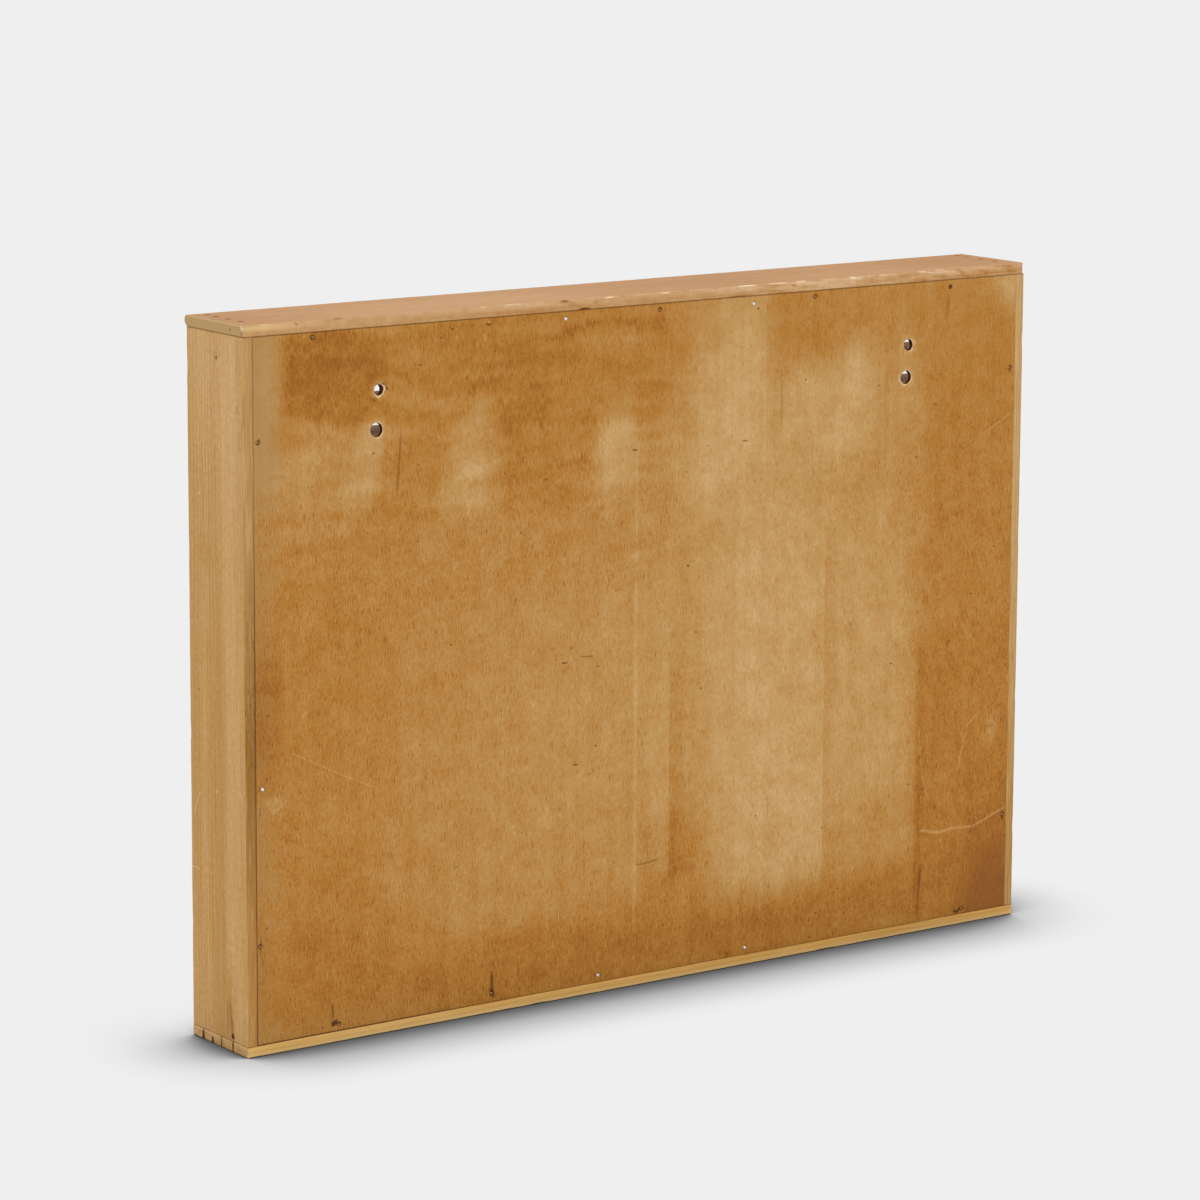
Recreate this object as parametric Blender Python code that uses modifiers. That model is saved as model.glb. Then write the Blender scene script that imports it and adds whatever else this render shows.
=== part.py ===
"""Wooden cassette storage box: an open-fronted rack for one hundred cassettes,
to stand on a shelf or hang on a wall.

Two 13 mm side boards stand between a thin top and bottom board, which are
nailed down over them. A plywood panel sits in a rabbet at the back, flush with
the rear edges, and carries four hang holes. Inside, four upright dividers and
nineteen thin slats are half-lapped into a lattice of five columns and twenty
rows, set back from the front edge.

Frame: +Z up, the open front faces -Y, the back panel faces +Y. The origin is
the centre of the underside. All lengths are in metres.
"""

import math

import bmesh
import bpy
from mathutils import Vector

MM = 0.001

# Outer box
WIDTH = 598 * MM
HEIGHT = 440 * MM
DEPTH = 64 * MM
TOP_THICKNESS = 7.0 * MM
BOTTOM_THICKNESS = 6.4 * MM
SIDE_THICKNESS = 13.2 * MM
NOSE = 2.4 * MM  # the top board's rounded front edge stands this far proud of the sides
NOSE_RADIUS = 3.3 * MM
EASE = 0.6 * MM  # sanded arris on the outer edges
GAP = 0.3 * MM  # clearance between touching pieces

Y_BACK = (DEPTH + NOSE) / 2
Y_FRONT = Y_BACK - DEPTH
X_OUT = WIDTH / 2
X_IN = X_OUT - SIDE_THICKNESS
Z_UNDER_TOP = HEIGHT - TOP_THICKNESS

# Back panel and its rabbet
PANEL_THICKNESS = 3.5 * MM
RABBET_LIP = 6.6 * MM
RABBET_DEPTH = PANEL_THICKNESS + GAP
HOLE_SEGMENTS = 24

# Hang holes: X, Z, radius
HANG_HOLES = (
    (203.5 * MM, 394.7 * MM, 3.85 * MM),
    (205.8 * MM, 371.0 * MM, 4.45 * MM),
    (-202.6 * MM, 392.6 * MM, 3.75 * MM),
    (-201.0 * MM, 371.3 * MM, 4.5 * MM),
)

# Lattice
ROWS = 20
DIVIDER_THICKNESS = 6.0 * MM
SLAT_THICKNESS = 3.2 * MM
ROW_PITCH = 20.84 * MM
FIRST_FLOOR = 13.2 * MM  # top of the bottom rail, the floor of the lowest row
LATTICE_DEPTH = 34.2 * MM
Y_LATTICE_BACK = Y_BACK - RABBET_DEPTH
Y_LATTICE_FRONT = Y_LATTICE_BACK - LATTICE_DEPTH
Y_LAP = (Y_LATTICE_FRONT + Y_LATTICE_BACK) / 2  # where slat and divider meet
COLUMN_PITCH = 115.5 * MM
DIVIDER_X = tuple((i - 1.5) * COLUMN_PITCH for i in range(4))
Z_TOP_RAIL = FIRST_FLOOR + ROWS * ROW_PITCH - SLAT_THICKNESS  # underside of the top rail
RAIL_DADO = 1.7 * MM
SIDE_DADO = 2.5 * MM

# T-headed nails through the top and bottom boards
T_WIRE = 1.2 * MM
T_SHANK = 1.4 * MM
T_HEAD_WIDTH = 3.6 * MM
T_HEAD_DEPTH = 1.1 * MM
T_LENGTH = 22 * MM
T_SUNK = 0.4 * MM
TOP_NAIL_INSET = 10.1 * MM
BOTTOM_NAIL_INSET = 3.3 * MM
TOP_NAIL_SHARES = (0.125, 0.27, 0.50, 0.72)  # of the depth, from the front
BOTTOM_NAIL_SHARES = (0.19, 0.36, 0.52, 0.73)

# Round-headed panel nails: X, Z
NAIL_HEAD_RADIUS = 1.15 * MM
NAIL_HEAD_DEPTH = 0.45 * MM
NAIL_SHANK_RADIUS = 0.6 * MM
NAIL_LENGTH = 12 * MM
NAIL_SUNK = 0.1 * MM
NAIL_STEPS = 10
PANEL_NAILS = (
    (251.0 * MM, 429.7 * MM),
    (68.8 * MM, 428.2 * MM),
    (-75.9 * MM, 427.9 * MM),
    (-124.7 * MM, 429.1 * MM),
    (-236.4 * MM, 428.0 * MM),
    (287.2 * MM, 162.7 * MM),
    (289.7 * MM, 67.2 * MM),
    (-288.4 * MM, 371.3 * MM),
    (-289.5 * MM, 69.7 * MM),
    (234.8 * MM, 10.6 * MM),
    (123.4 * MM, 11.9 * MM),
    (42.3 * MM, 10.8 * MM),
    (-73.7 * MM, 10.9 * MM),
    (-255.2 * MM, 10.0 * MM),
)
BRIGHT_NAILS = (2, 3, 6, 12, 13)  # numbered from 1, as the objects are

COLOURS = {
    # name: (linear RGB, roughness, metallic)
    "top_wood": ((0.50, 0.30, 0.16), 0.55, 0.0),
    "bottom_wood": ((0.46, 0.28, 0.12), 0.55, 0.0),
    "side_wood": ((0.52, 0.34, 0.17), 0.52, 0.0),
    "panel_ply": ((0.38, 0.19, 0.05), 0.5, 0.0),
    "rail_wood": ((0.50, 0.32, 0.16), 0.58, 0.0),
    "divider_wood": ((0.49, 0.31, 0.15), 0.58, 0.0),
    "slat_wood": ((0.47, 0.29, 0.14), 0.6, 0.0),
    "t_nail_steel": ((0.09, 0.06, 0.04), 0.6, 0.8),
    "dark_nail": ((0.10, 0.06, 0.04), 0.6, 0.8),
    "bright_nail": ((0.75, 0.74, 0.72), 0.25, 1.0),
}


def clear_scene():
    for obj in list(bpy.data.objects):
        bpy.data.objects.remove(obj, do_unlink=True)


def new_collection(name):
    collection = bpy.data.collections.new(name)
    bpy.context.scene.collection.children.link(collection)
    return collection


def new_material(name):
    colour, roughness, metallic = COLOURS[name]
    material = bpy.data.materials.new(name)
    material.use_nodes = True
    shader = material.node_tree.nodes["Principled BSDF"]
    shader.inputs["Base Color"].default_value = (*colour, 1.0)
    shader.inputs["Roughness"].default_value = roughness
    shader.inputs["Metallic"].default_value = metallic
    material.diffuse_color = (*colour, 1.0)
    return material


def new_object(name, data, collection, parent=None, material=None):
    obj = bpy.data.objects.new(name, data)
    collection.objects.link(obj)
    obj.parent = parent
    if material is not None and not data.materials:
        data.materials.append(material)
    return obj


def add_box(bm, low, high):
    """One box between two corners, added to a mesh under construction."""
    low, high = Vector(low), Vector(high)
    made = bmesh.ops.create_cube(bm, size=1.0)
    bmesh.ops.scale(bm, vec=high - low, verts=made["verts"])
    bmesh.ops.translate(bm, vec=(low + high) / 2, verts=made["verts"])


def add_rod(bm, x, z, radius, y_from, y_to, segments):
    """One cylinder along Y, added to a mesh under construction."""
    made = bmesh.ops.create_cone(
        bm,
        cap_ends=True,
        segments=segments,
        radius1=radius,
        radius2=radius,
        depth=abs(y_to - y_from),
    )
    turned = made["verts"]
    bmesh.ops.rotate(
        bm,
        verts=turned,
        cent=(0, 0, 0),
        matrix=Vector((0, 0, 1)).rotation_difference(Vector((0, 1, 0))).to_matrix(),
    )
    bmesh.ops.translate(bm, verts=turned, vec=(x, (y_from + y_to) / 2, z))


def finish_mesh(bm, name):
    mesh = bpy.data.meshes.new(name)
    bm.to_mesh(mesh)
    bm.free()
    return mesh


def box_object(name, low, high, material):
    """A board between two corners, with its origin at its centre."""
    low, high = Vector(low), Vector(high)
    half = (high - low) / 2
    bm = bmesh.new()
    add_box(bm, -half, half)
    obj = new_object(name, finish_mesh(bm, name), PARTS, ROOT, MATERIALS[material])
    obj.location = (low + high) / 2
    return obj


def boxes_cutter(name, boxes):
    bm = bmesh.new()
    for low, high in boxes:
        add_box(bm, low, high)
    return hidden_cutter(name, bm)


def rods_cutter(name, rods, segments):
    """Rods given as X, Z, radius, from Y, to Y."""
    bm = bmesh.new()
    for x, z, radius, y_from, y_to in rods:
        add_rod(bm, x, z, radius, y_from, y_to, segments)
    return hidden_cutter(name, bm)


def hidden_cutter(name, bm):
    obj = new_object(name, finish_mesh(bm, name), CUTTERS)
    obj.hide_render = True
    obj.display_type = "WIRE"
    return obj


def cut(obj, *cutters):
    for cutter in cutters:
        modifier = obj.modifiers.new(f"cut {cutter.name}", "BOOLEAN")
        modifier.operation = "DIFFERENCE"
        modifier.solver = "EXACT"
        modifier.object = cutter


def round_edges(obj, width, segments, wanted):
    """Bevels the edges whose midpoint passes a test, in the object's own frame."""
    mesh = obj.data
    weights = mesh.attributes.get("bevel_weight_edge") or mesh.attributes.new(
        "bevel_weight_edge", "FLOAT", "EDGE"
    )
    for edge in mesh.edges:
        a, b = (mesh.vertices[i].co for i in edge.vertices)
        weights.data[edge.index].value = 1.0 if wanted((a + b) / 2, b - a) else 0.0
    modifier = obj.modifiers.new("rounded edges", "BEVEL")
    modifier.limit_method = "WEIGHT"
    modifier.width = width
    modifier.segments = segments


def outline_curve(name, points, thickness):
    """A flat closed outline in the curve's own XY plane, given its thickness along its Z."""
    curve = bpy.data.curves.new(name, "CURVE")
    curve.dimensions = "2D"
    curve.fill_mode = "BOTH"
    curve.extrude = thickness / 2
    spline = curve.splines.new("POLY")
    spline.points.add(len(points) - 1)
    for point, (x, y) in zip(spline.points, points):
        point.co = (x, y, 0, 1)
    spline.use_cyclic_u = True
    return curve


def comb_outline(length_from, length_to, side_plain, side_notched, notches):
    """A straight strip whose one long side has square notches: a list of (from, to, depth line)."""
    points = [(length_from, side_plain), (length_to, side_plain), (length_to, side_notched)]
    for start, stop, line in sorted(notches, reverse=True):
        points += [(stop, side_notched), (stop, line), (start, line), (start, side_notched)]
    points.append((length_from, side_notched))
    return points


def floor_height(row):
    """The top of the slat that carries this row, counted from 0 at the bottom rail."""
    return FIRST_FLOOR + row * ROW_PITCH


# ---------------------------------------------------------------- scene set-up
clear_scene()
PARTS = new_collection("cassette_storage_box")
CUTTERS = new_collection("cutters")
MATERIALS = {name: new_material(name) for name in COLOURS}
ROOT = new_object("cassette_storage_box_root", None, PARTS)


# ------------------------------------------------------------- nail positions
def depth_line(share):
    return Y_FRONT + share * DEPTH


TOP_NAILS = {
    side: [(sign * (X_OUT - TOP_NAIL_INSET), depth_line(s)) for s in TOP_NAIL_SHARES]
    for side, sign in (("left", -1), ("right", 1))
}
BOTTOM_NAILS = {
    side: [
        (sign * (X_OUT - BOTTOM_NAIL_INSET), depth_line(s)) for s in BOTTOM_NAIL_SHARES
    ]
    for side, sign in (("left", -1), ("right", 1))
}


def t_pilots(name, nails, z_surface, inward):
    """The slots for T-headed nails: one cutter for the shanks and one for the heads."""
    shanks, heads = [], []
    half_x, half_y = T_SHANK / 2 + GAP, T_WIRE / 2 + GAP
    head_x, head_y = T_HEAD_WIDTH / 2 + GAP, T_WIRE / 2 + 1.5 * GAP
    outside = z_surface - inward * MM
    deep = z_surface + inward * (T_SUNK + T_LENGTH + 2 * GAP)
    ledge = z_surface + inward * (T_SUNK + T_HEAD_DEPTH + GAP)
    for x, y in nails:
        low, high = sorted((outside, deep))
        shanks.append(((x - half_x, y - half_y, low), (x + half_x, y + half_y, high)))
        low, high = sorted((outside, ledge))
        heads.append(((x - head_x, y - head_y, low), (x + head_x, y + head_y, high)))
    return boxes_cutter(f"{name}_shanks", shanks), boxes_cutter(f"{name}_heads", heads)


top_shanks, top_heads = t_pilots(
    "top_nail", TOP_NAILS["left"] + TOP_NAILS["right"], HEIGHT, -1
)
bottom_shanks, bottom_heads = t_pilots(
    "bottom_nail", BOTTOM_NAILS["left"] + BOTTOM_NAILS["right"], 0.0, 1
)
panel_shanks = rods_cutter(
    "panel_nail_shanks",
    [
        (x, z, NAIL_SHANK_RADIUS + GAP, Y_BACK + MM, Y_BACK - NAIL_LENGTH - 2 * GAP)
        for x, z in PANEL_NAILS
    ],
    8,
)
panel_heads = rods_cutter(
    "panel_nail_heads",
    [
        (
            x,
            z,
            NAIL_HEAD_RADIUS + GAP,
            Y_BACK + MM,
            Y_BACK - NAIL_SUNK - NAIL_HEAD_DEPTH - GAP,
        )
        for x, z in PANEL_NAILS
    ],
    10,
)


# --------------------------------------------------------------- outer boards
top_board = box_object(
    "top_board",
    (-X_OUT, Y_FRONT - NOSE, Z_UNDER_TOP),
    (X_OUT, Y_BACK, HEIGHT),
    "top_wood",
)
# the two long front edges together make the rounded nose
round_edges(
    top_board,
    NOSE_RADIUS,
    5,
    lambda middle, along: middle.y < -DEPTH / 2 and abs(along.x) > DEPTH,
)
cut(top_board, top_shanks, top_heads)

bottom_board = box_object(
    "bottom_board", (-X_OUT, Y_FRONT, 0), (X_OUT, Y_BACK, BOTTOM_THICKNESS), "bottom_wood"
)
# the arris along the underside, front and back, is sanded off
round_edges(
    bottom_board,
    EASE,
    2,
    lambda middle, along: middle.z < 0 and abs(along.x) > DEPTH,
)
cut(bottom_board, bottom_shanks, bottom_heads)

for side, sign in (("left", -1), ("right", 1)):
    x_low, x_high = sorted((sign * X_IN, sign * X_OUT))
    board = box_object(
        f"side_{side}",
        (x_low, Y_FRONT, BOTTOM_THICKNESS + GAP),
        (x_high, Y_BACK, Z_UNDER_TOP - GAP),
        "side_wood",
    )
    round_edges(
        board,
        EASE,
        2,
        lambda middle, along, s=sign: middle.x * s > 0 and abs(along.z) > DEPTH,
    )
    lip = sign * (X_OUT - RABBET_LIP)
    beyond = sign * (X_IN - 2 * MM)
    rabbet = boxes_cutter(
        f"rabbet_{side}",
        [
            (
                (min(lip, beyond), Y_BACK - RABBET_DEPTH, 0),
                (max(lip, beyond), Y_BACK + MM, HEIGHT),
            )
        ],
    )
    # stopped dadoes, open to the rabbet, that take the slats' ends
    groove = sign * (X_IN + SIDE_DADO)
    dadoes = boxes_cutter(
        f"dadoes_{side}",
        [
            (
                (
                    min(groove, beyond),
                    Y_LATTICE_FRONT - GAP,
                    floor_height(row) - SLAT_THICKNESS - GAP,
                ),
                (max(groove, beyond), Y_BACK + MM, floor_height(row) + GAP),
            )
            for row in range(1, ROWS)
        ],
    )
    cut(board, rabbet, dadoes, top_shanks, bottom_shanks, panel_shanks)


# ----------------------------------------------------------------- back panel
back_panel = box_object(
    "back_panel",
    (-X_OUT + RABBET_LIP + GAP, Y_BACK - PANEL_THICKNESS, BOTTOM_THICKNESS + GAP),
    (X_OUT - RABBET_LIP - GAP, Y_BACK, Z_UNDER_TOP - GAP),
    "panel_ply",
)
hang_holes = rods_cutter(
    "hang_holes",
    [
        (x, z, radius, Y_BACK + 2 * MM, Y_BACK - PANEL_THICKNESS - 2 * MM)
        for x, z, radius in HANG_HOLES
    ],
    HOLE_SEGMENTS,
)
cut(back_panel, hang_holes, panel_shanks, panel_heads)


# ---------------------------------------------------------------- rails
# Strips that close the lattice at top and bottom. The dividers stand in dadoes
# across them, and the panel is nailed to their back edges.
def rail(name, z_low, z_high, z_dadoed, into):
    """A rail between two heights; its dadoes are sunk from one face, upwards or downwards."""
    half = X_IN - GAP
    obj = box_object(
        name, (-half, Y_LATTICE_FRONT, z_low), (half, Y_LATTICE_BACK, z_high), "rail_wood"
    )
    low, high = sorted((z_dadoed + into * RAIL_DADO, z_dadoed - into * MM))
    dadoes = boxes_cutter(
        f"{name}_dadoes",
        [
            (
                (x - DIVIDER_THICKNESS / 2 - GAP, Y_LATTICE_FRONT - MM, low),
                (x + DIVIDER_THICKNESS / 2 + GAP, Y_LATTICE_BACK + MM, high),
            )
            for x in DIVIDER_X
        ],
    )
    cut(obj, dadoes, panel_shanks)


rail("bottom_rail", BOTTOM_THICKNESS + GAP, FIRST_FLOOR, FIRST_FLOOR, -1)
rail("top_rail", Z_TOP_RAIL, Z_UNDER_TOP - GAP, Z_TOP_RAIL, 1)


# ------------------------------------------------------------------ dividers
# Uprights, notched halfway through from behind at every slat.
divider_curve = outline_curve(
    "divider",
    comb_outline(
        FIRST_FLOOR - RAIL_DADO + GAP,
        Z_TOP_RAIL + RAIL_DADO - GAP,
        Y_LATTICE_FRONT,
        Y_LATTICE_BACK,
        [
            (
                floor_height(row) - SLAT_THICKNESS - GAP,
                floor_height(row) + GAP,
                Y_LAP - GAP,
            )
            for row in range(1, ROWS)
        ],
    ),
    DIVIDER_THICKNESS,
)
divider_curve.materials.append(MATERIALS["divider_wood"])
for number, x in enumerate(DIVIDER_X, 1):
    divider = new_object(f"divider_{number}", divider_curve, PARTS, ROOT)
    # outline length (local X) runs up Z, its width (local Y) runs along Y
    divider.rotation_euler = (0, math.radians(-90), 0)
    divider.location = (x, 0, 0)


# --------------------------------------------------------------------- slats
# Thin shelves, notched halfway through from the front at every divider, with
# their ends let into the side boards.
slat_curve = outline_curve(
    "slat",
    comb_outline(
        -X_IN - SIDE_DADO + GAP,
        X_IN + SIDE_DADO - GAP,
        Y_LATTICE_BACK,
        Y_LATTICE_FRONT,
        [
            (
                x - DIVIDER_THICKNESS / 2 - GAP,
                x + DIVIDER_THICKNESS / 2 + GAP,
                Y_LAP + GAP,
            )
            for x in DIVIDER_X
        ],
    )[::-1],
    SLAT_THICKNESS,
)
slat_curve.materials.append(MATERIALS["slat_wood"])
for row in range(1, ROWS):
    slat = new_object(f"slat_{row:02d}", slat_curve, PARTS, ROOT)
    slat.location = (0, 0, floor_height(row) - SLAT_THICKNESS / 2)


# ------------------------------------------------------------- T-headed nails
def t_nail_curve():
    head, shank = T_HEAD_WIDTH / 2, T_SHANK / 2
    points = [
        (-head, 0),
        (-head, -T_HEAD_DEPTH),
        (-shank, -T_HEAD_DEPTH),
        (-shank, -T_LENGTH + 1.5 * T_SHANK),
        (0, -T_LENGTH),
        (shank, -T_LENGTH + 1.5 * T_SHANK),
        (shank, -T_HEAD_DEPTH),
        (head, -T_HEAD_DEPTH),
        (head, 0),
    ]
    curve = outline_curve("t_nail", points, T_WIRE)
    curve.materials.append(MATERIALS["t_nail_steel"])
    return curve


t_nail = t_nail_curve()
for board, nails, z, turn in (
    ("top", TOP_NAILS, HEIGHT - T_SUNK, 90),
    ("bottom", BOTTOM_NAILS, T_SUNK, -90),
):
    for side, places in nails.items():
        for number, (x, y) in enumerate(places, 1):
            nail = new_object(f"{board}_nail_{side}_{number}", t_nail, PARTS, ROOT)
            nail.rotation_euler = (math.radians(turn), 0, 0)
            nail.location = (x, y, z)


# ---------------------------------------------------------------- panel nails
def nail_profile(name, material):
    """Half the outline of a round-headed nail, down its outer side from the head's centre."""
    outline = (
        (0, 0),
        (0.75 * NAIL_HEAD_RADIUS, 0),
        (NAIL_HEAD_RADIUS, -0.4 * NAIL_HEAD_DEPTH),
        (NAIL_SHANK_RADIUS, -NAIL_HEAD_DEPTH),
        (NAIL_SHANK_RADIUS, -NAIL_LENGTH + 2 * MM),
        (0, -NAIL_LENGTH),
    )
    bm = bmesh.new()
    points = [bm.verts.new((x, 0, z)) for x, z in outline]
    for a, b in zip(points, points[1:]):
        bm.edges.new((a, b))
    mesh = finish_mesh(bm, name)
    mesh.materials.append(MATERIALS[material])
    return mesh


bright = nail_profile("bright_nail_profile", "bright_nail")
dark = nail_profile("dark_nail_profile", "dark_nail")
for number, (x, z) in enumerate(PANEL_NAILS, 1):
    profile = bright if number in BRIGHT_NAILS else dark
    nail = new_object(f"panel_nail_{number:02d}", profile, PARTS, ROOT)
    turn = nail.modifiers.new("turned", "SCREW")
    turn.axis = "Z"
    turn.angle = math.radians(360)
    turn.steps = NAIL_STEPS
    turn.render_steps = NAIL_STEPS
    turn.use_merge_vertices = True
    turn.merge_threshold = 0.00001
    turn.use_smooth_shade = True
    # the head faces +Y
    nail.rotation_euler = (math.radians(-90), 0, 0)
    nail.location = (x, Y_BACK - NAIL_SUNK, z)

for cutter in CUTTERS.objects:
    cutter.hide_render = True
    cutter.display_type = "WIRE"
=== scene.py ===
"""The looks of the wooden cassette storage box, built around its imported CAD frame.

Frame: metres, +Z up, the open front faces -Y and the back panel faces +Y.
Shapes and materials below are worked out in millimetres.

The five boards of the case are rebuilt here with worn arrises, chips, ragged
hang holes and nail craters. The lattice inside and the T-headed nails keep
their CAD solids and get softened edges. Every surface has a node material.
"""

import math

import bmesh
import bpy
from mathutils import Matrix, Vector, noise


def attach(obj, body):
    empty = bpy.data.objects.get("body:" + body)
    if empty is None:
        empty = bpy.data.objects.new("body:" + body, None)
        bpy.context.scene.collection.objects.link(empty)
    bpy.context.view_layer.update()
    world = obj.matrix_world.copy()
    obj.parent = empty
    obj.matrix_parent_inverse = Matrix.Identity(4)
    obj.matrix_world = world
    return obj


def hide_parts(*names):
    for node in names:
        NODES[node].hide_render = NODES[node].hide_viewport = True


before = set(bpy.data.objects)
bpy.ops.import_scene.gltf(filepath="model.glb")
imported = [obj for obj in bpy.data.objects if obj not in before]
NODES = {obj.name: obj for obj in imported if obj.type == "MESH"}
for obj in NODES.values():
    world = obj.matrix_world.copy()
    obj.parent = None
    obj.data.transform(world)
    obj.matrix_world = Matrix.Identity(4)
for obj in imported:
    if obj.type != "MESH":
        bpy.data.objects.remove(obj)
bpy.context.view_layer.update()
MM = 0.001

# ------------------------------------------------------------- sizes, in mm
X_OUT, X_IN = 299.0, 285.8
Y_NOSE, Y_FRONT, Y_BACK = -33.2, -30.8, 33.2
TOP, UNDER_TOP, OVER_BOTTOM = 440.0, 433.0, 6.4
GAP = 0.3
PANEL = 3.5
LIP = 6.6
RABBET = PANEL + GAP
LATTICE_FRONT, LATTICE_BACK = -4.8, Y_BACK - RABBET
FIRST_FLOOR, PITCH, SLAT, ROWS = 13.2, 20.84, 3.2, 20
SIDE_DADO = 2.5

HANG_HOLES = (
    (204.5, 395.0, 3.25),
    (206.3, 371.0, 4.3),
    (-202.0, 392.4, 3.65),
    (-200.4, 371.5, 4.3),
)
DEPTH = Y_BACK - Y_FRONT
TOP_NAIL_Y = [Y_FRONT + s * DEPTH for s in (0.125, 0.27, 0.50, 0.72)]
BOTTOM_NAIL_Y = [Y_FRONT + s * DEPTH for s in (0.19, 0.36, 0.52, 0.73)]
TOP_NAIL_X, BOTTOM_NAIL_X = X_OUT - 10.1, X_OUT - 3.3
PANEL_NAILS = (
    (251.0, 429.7),
    (68.8, 428.2),
    (-75.9, 427.9),
    (-124.7, 429.1),
    (-236.4, 428.0),
    (287.2, 162.7),
    (289.7, 67.2),
    (-288.4, 371.3),
    (-289.5, 69.7),
    (234.8, 10.6),
    (123.4, 11.9),
    (42.3, 10.8),
    (-73.7, 10.9),
    (-255.2, 10.0),
)
BRIGHT = (2, 3, 6, 12, 13)
# small heads that the CAD leaves to this file, with the same shank length
EXTRA_NAILS = ((-2.4, 428.9), (288.9, 370.2))


# =================================================================== meshes
def wave(a, b=0.0, c=0.0):
    """Smooth noise, about -1 to 1."""
    return noise.noise(Vector((a, b, c)))


def unit(a, b):
    length = math.hypot(a, b)
    return a / length, b / length


def outline(corners, inset, divisions):
    """Points round an anticlockwise right-angled outline with rounded corners.

    corners holds (a, b, radius, segments). Each point is (a, b, inward a,
    inward b, corner or None)."""
    count = len(corners)
    rounds = []
    for i, (a, b, radius, segments) in enumerate(corners):
        pa, pb = corners[i - 1][:2]
        na, nb = corners[(i + 1) % count][:2]
        back, on = unit(pa - a, pb - b), unit(na - a, nb - b)
        turn = 1.0 if back[1] * on[0] - back[0] * on[1] > 0 else -1.0
        a += turn * inset * (back[0] + on[0])
        b += turn * inset * (back[1] + on[1])
        radius = max(radius - turn * inset, 0.02)
        rounds.append((a, b, radius, segments, back, on, turn))
    points = []
    for i, (a, b, radius, segments, back, on, turn) in enumerate(rounds):
        ca, cb = a + radius * (back[0] + on[0]), b + radius * (back[1] + on[1])
        for k in range(segments + 1):
            angle = k / segments * math.pi / 2
            wa = on[0] * math.cos(angle) + back[0] * math.sin(angle)
            wb = on[1] * math.cos(angle) + back[1] * math.sin(angle)
            points.append((ca - radius * wa, cb - radius * wb, turn * wa, turn * wb, i))
        a2, b2, radius2, _, back2, _, _ = rounds[(i + 1) % count]
        start = (a + radius * on[0], b + radius * on[1])
        end = (a2 + radius2 * back2[0], b2 + radius2 * back2[1])
        for k in range(1, divisions[i]):
            t = k / divisions[i]
            points.append(
                (
                    start[0] + t * (end[0] - start[0]),
                    start[1] + t * (end[1] - start[1]),
                    -on[1],
                    on[0],
                    None,
                )
            )
    return points


def board(name, low, high, corners_at, divisions, place, step, end_radius, dent):
    """A board swept from low to high. corners_at(s) gives its corners there, place(s, a, b)
    a point in mm, and dent(s, a, b, inward a, inward b) how far the skin sinks there."""
    count = max(2, round((high - low) / step))
    ring_places = []
    for share in (3.0, 1.0, 0.55, 0.2, 0.0):
        inset = end_radius * (1.0 if share > 1 else 1 - math.sqrt(1 - share**2))
        if share > 1:
            inset = end_radius * 2.2
        along = end_radius * (0.0 if share >= 1 else 1 - share)
        ring_places.append((along, inset))
    stations = [(low + a, i) for a, i in ring_places]
    stations += [
        (low + (high - low) * k / count, 0.0)
        for k in range(1, count)
        if low + end_radius * 1.3
        < low + (high - low) * k / count
        < high - end_radius * 1.3
    ]
    stations += [(high - a, i) for a, i in reversed(ring_places)]
    bm = bmesh.new()
    rings = []
    for s, inset in stations:
        ring = []
        for a, b, wa, wb, corner in outline(corners_at(s), inset, divisions):
            sink = dent(s, a, b, wa, wb) if inset == 0.0 else 0.0
            ring.append(bm.verts.new(Vector(place(s, a + sink * wa, b + sink * wb)) * MM))
        rings.append(ring)
    for one, two in zip(rings, rings[1:]):
        for i in range(len(one)):
            j = (i + 1) % len(one)
            bm.faces.new((one[i], one[j], two[j], two[i]))
    bm.faces.new(rings[0][::-1])
    bm.faces.new(rings[-1])
    bmesh.ops.recalc_face_normals(bm, faces=bm.faces)
    return as_object(name, bm)


def as_object(name, bm):
    mesh = bpy.data.meshes.new(name)
    bm.to_mesh(mesh)
    bm.free()
    obj = bpy.data.objects.new(name, mesh)
    bpy.context.scene.collection.objects.link(obj)
    return obj


def carve(obj, *cutters):
    """Cuts closed meshes out of obj for good."""
    for bm in cutters:
        bmesh.ops.recalc_face_normals(bm, faces=bm.faces)
        cutter = as_object("cutter", bm)
        modifier = obj.modifiers.new("cut", "BOOLEAN")
        modifier.operation = "DIFFERENCE"
        modifier.solver = "EXACT"
        modifier.object = cutter
        bpy.context.view_layer.update()
        result = bpy.data.meshes.new_from_object(
            obj.evaluated_get(bpy.context.evaluated_depsgraph_get())
        )
        obj.modifiers.clear()
        old, obj.data = obj.data, result
        bpy.data.meshes.remove(old)
        spare = cutter.data
        bpy.data.objects.remove(cutter)
        bpy.data.meshes.remove(spare)


def soften(obj, angle=34):
    """Smooth shading, kept crisp at real edges, with no doubled points or slivers."""
    bm = bmesh.new()
    bm.from_mesh(obj.data)
    bmesh.ops.remove_doubles(bm, verts=bm.verts, dist=2e-6)
    loose = [v for v in bm.verts if not v.link_faces]
    bmesh.ops.delete(bm, geom=loose, context="VERTS")
    bm.to_mesh(obj.data)
    bm.free()
    for face in obj.data.polygons:
        face.use_smooth = True
    obj.data.set_sharp_from_angle(angle=math.radians(angle))


def boxes(places):
    bm = bmesh.new()
    for low, high in places:
        low, high = Vector(low) * MM, Vector(high) * MM
        made = bmesh.ops.create_cube(bm, size=1.0)
        bmesh.ops.scale(bm, vec=high - low, verts=made["verts"])
        bmesh.ops.translate(bm, vec=(low + high) / 2, verts=made["verts"])
    return bm


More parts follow.
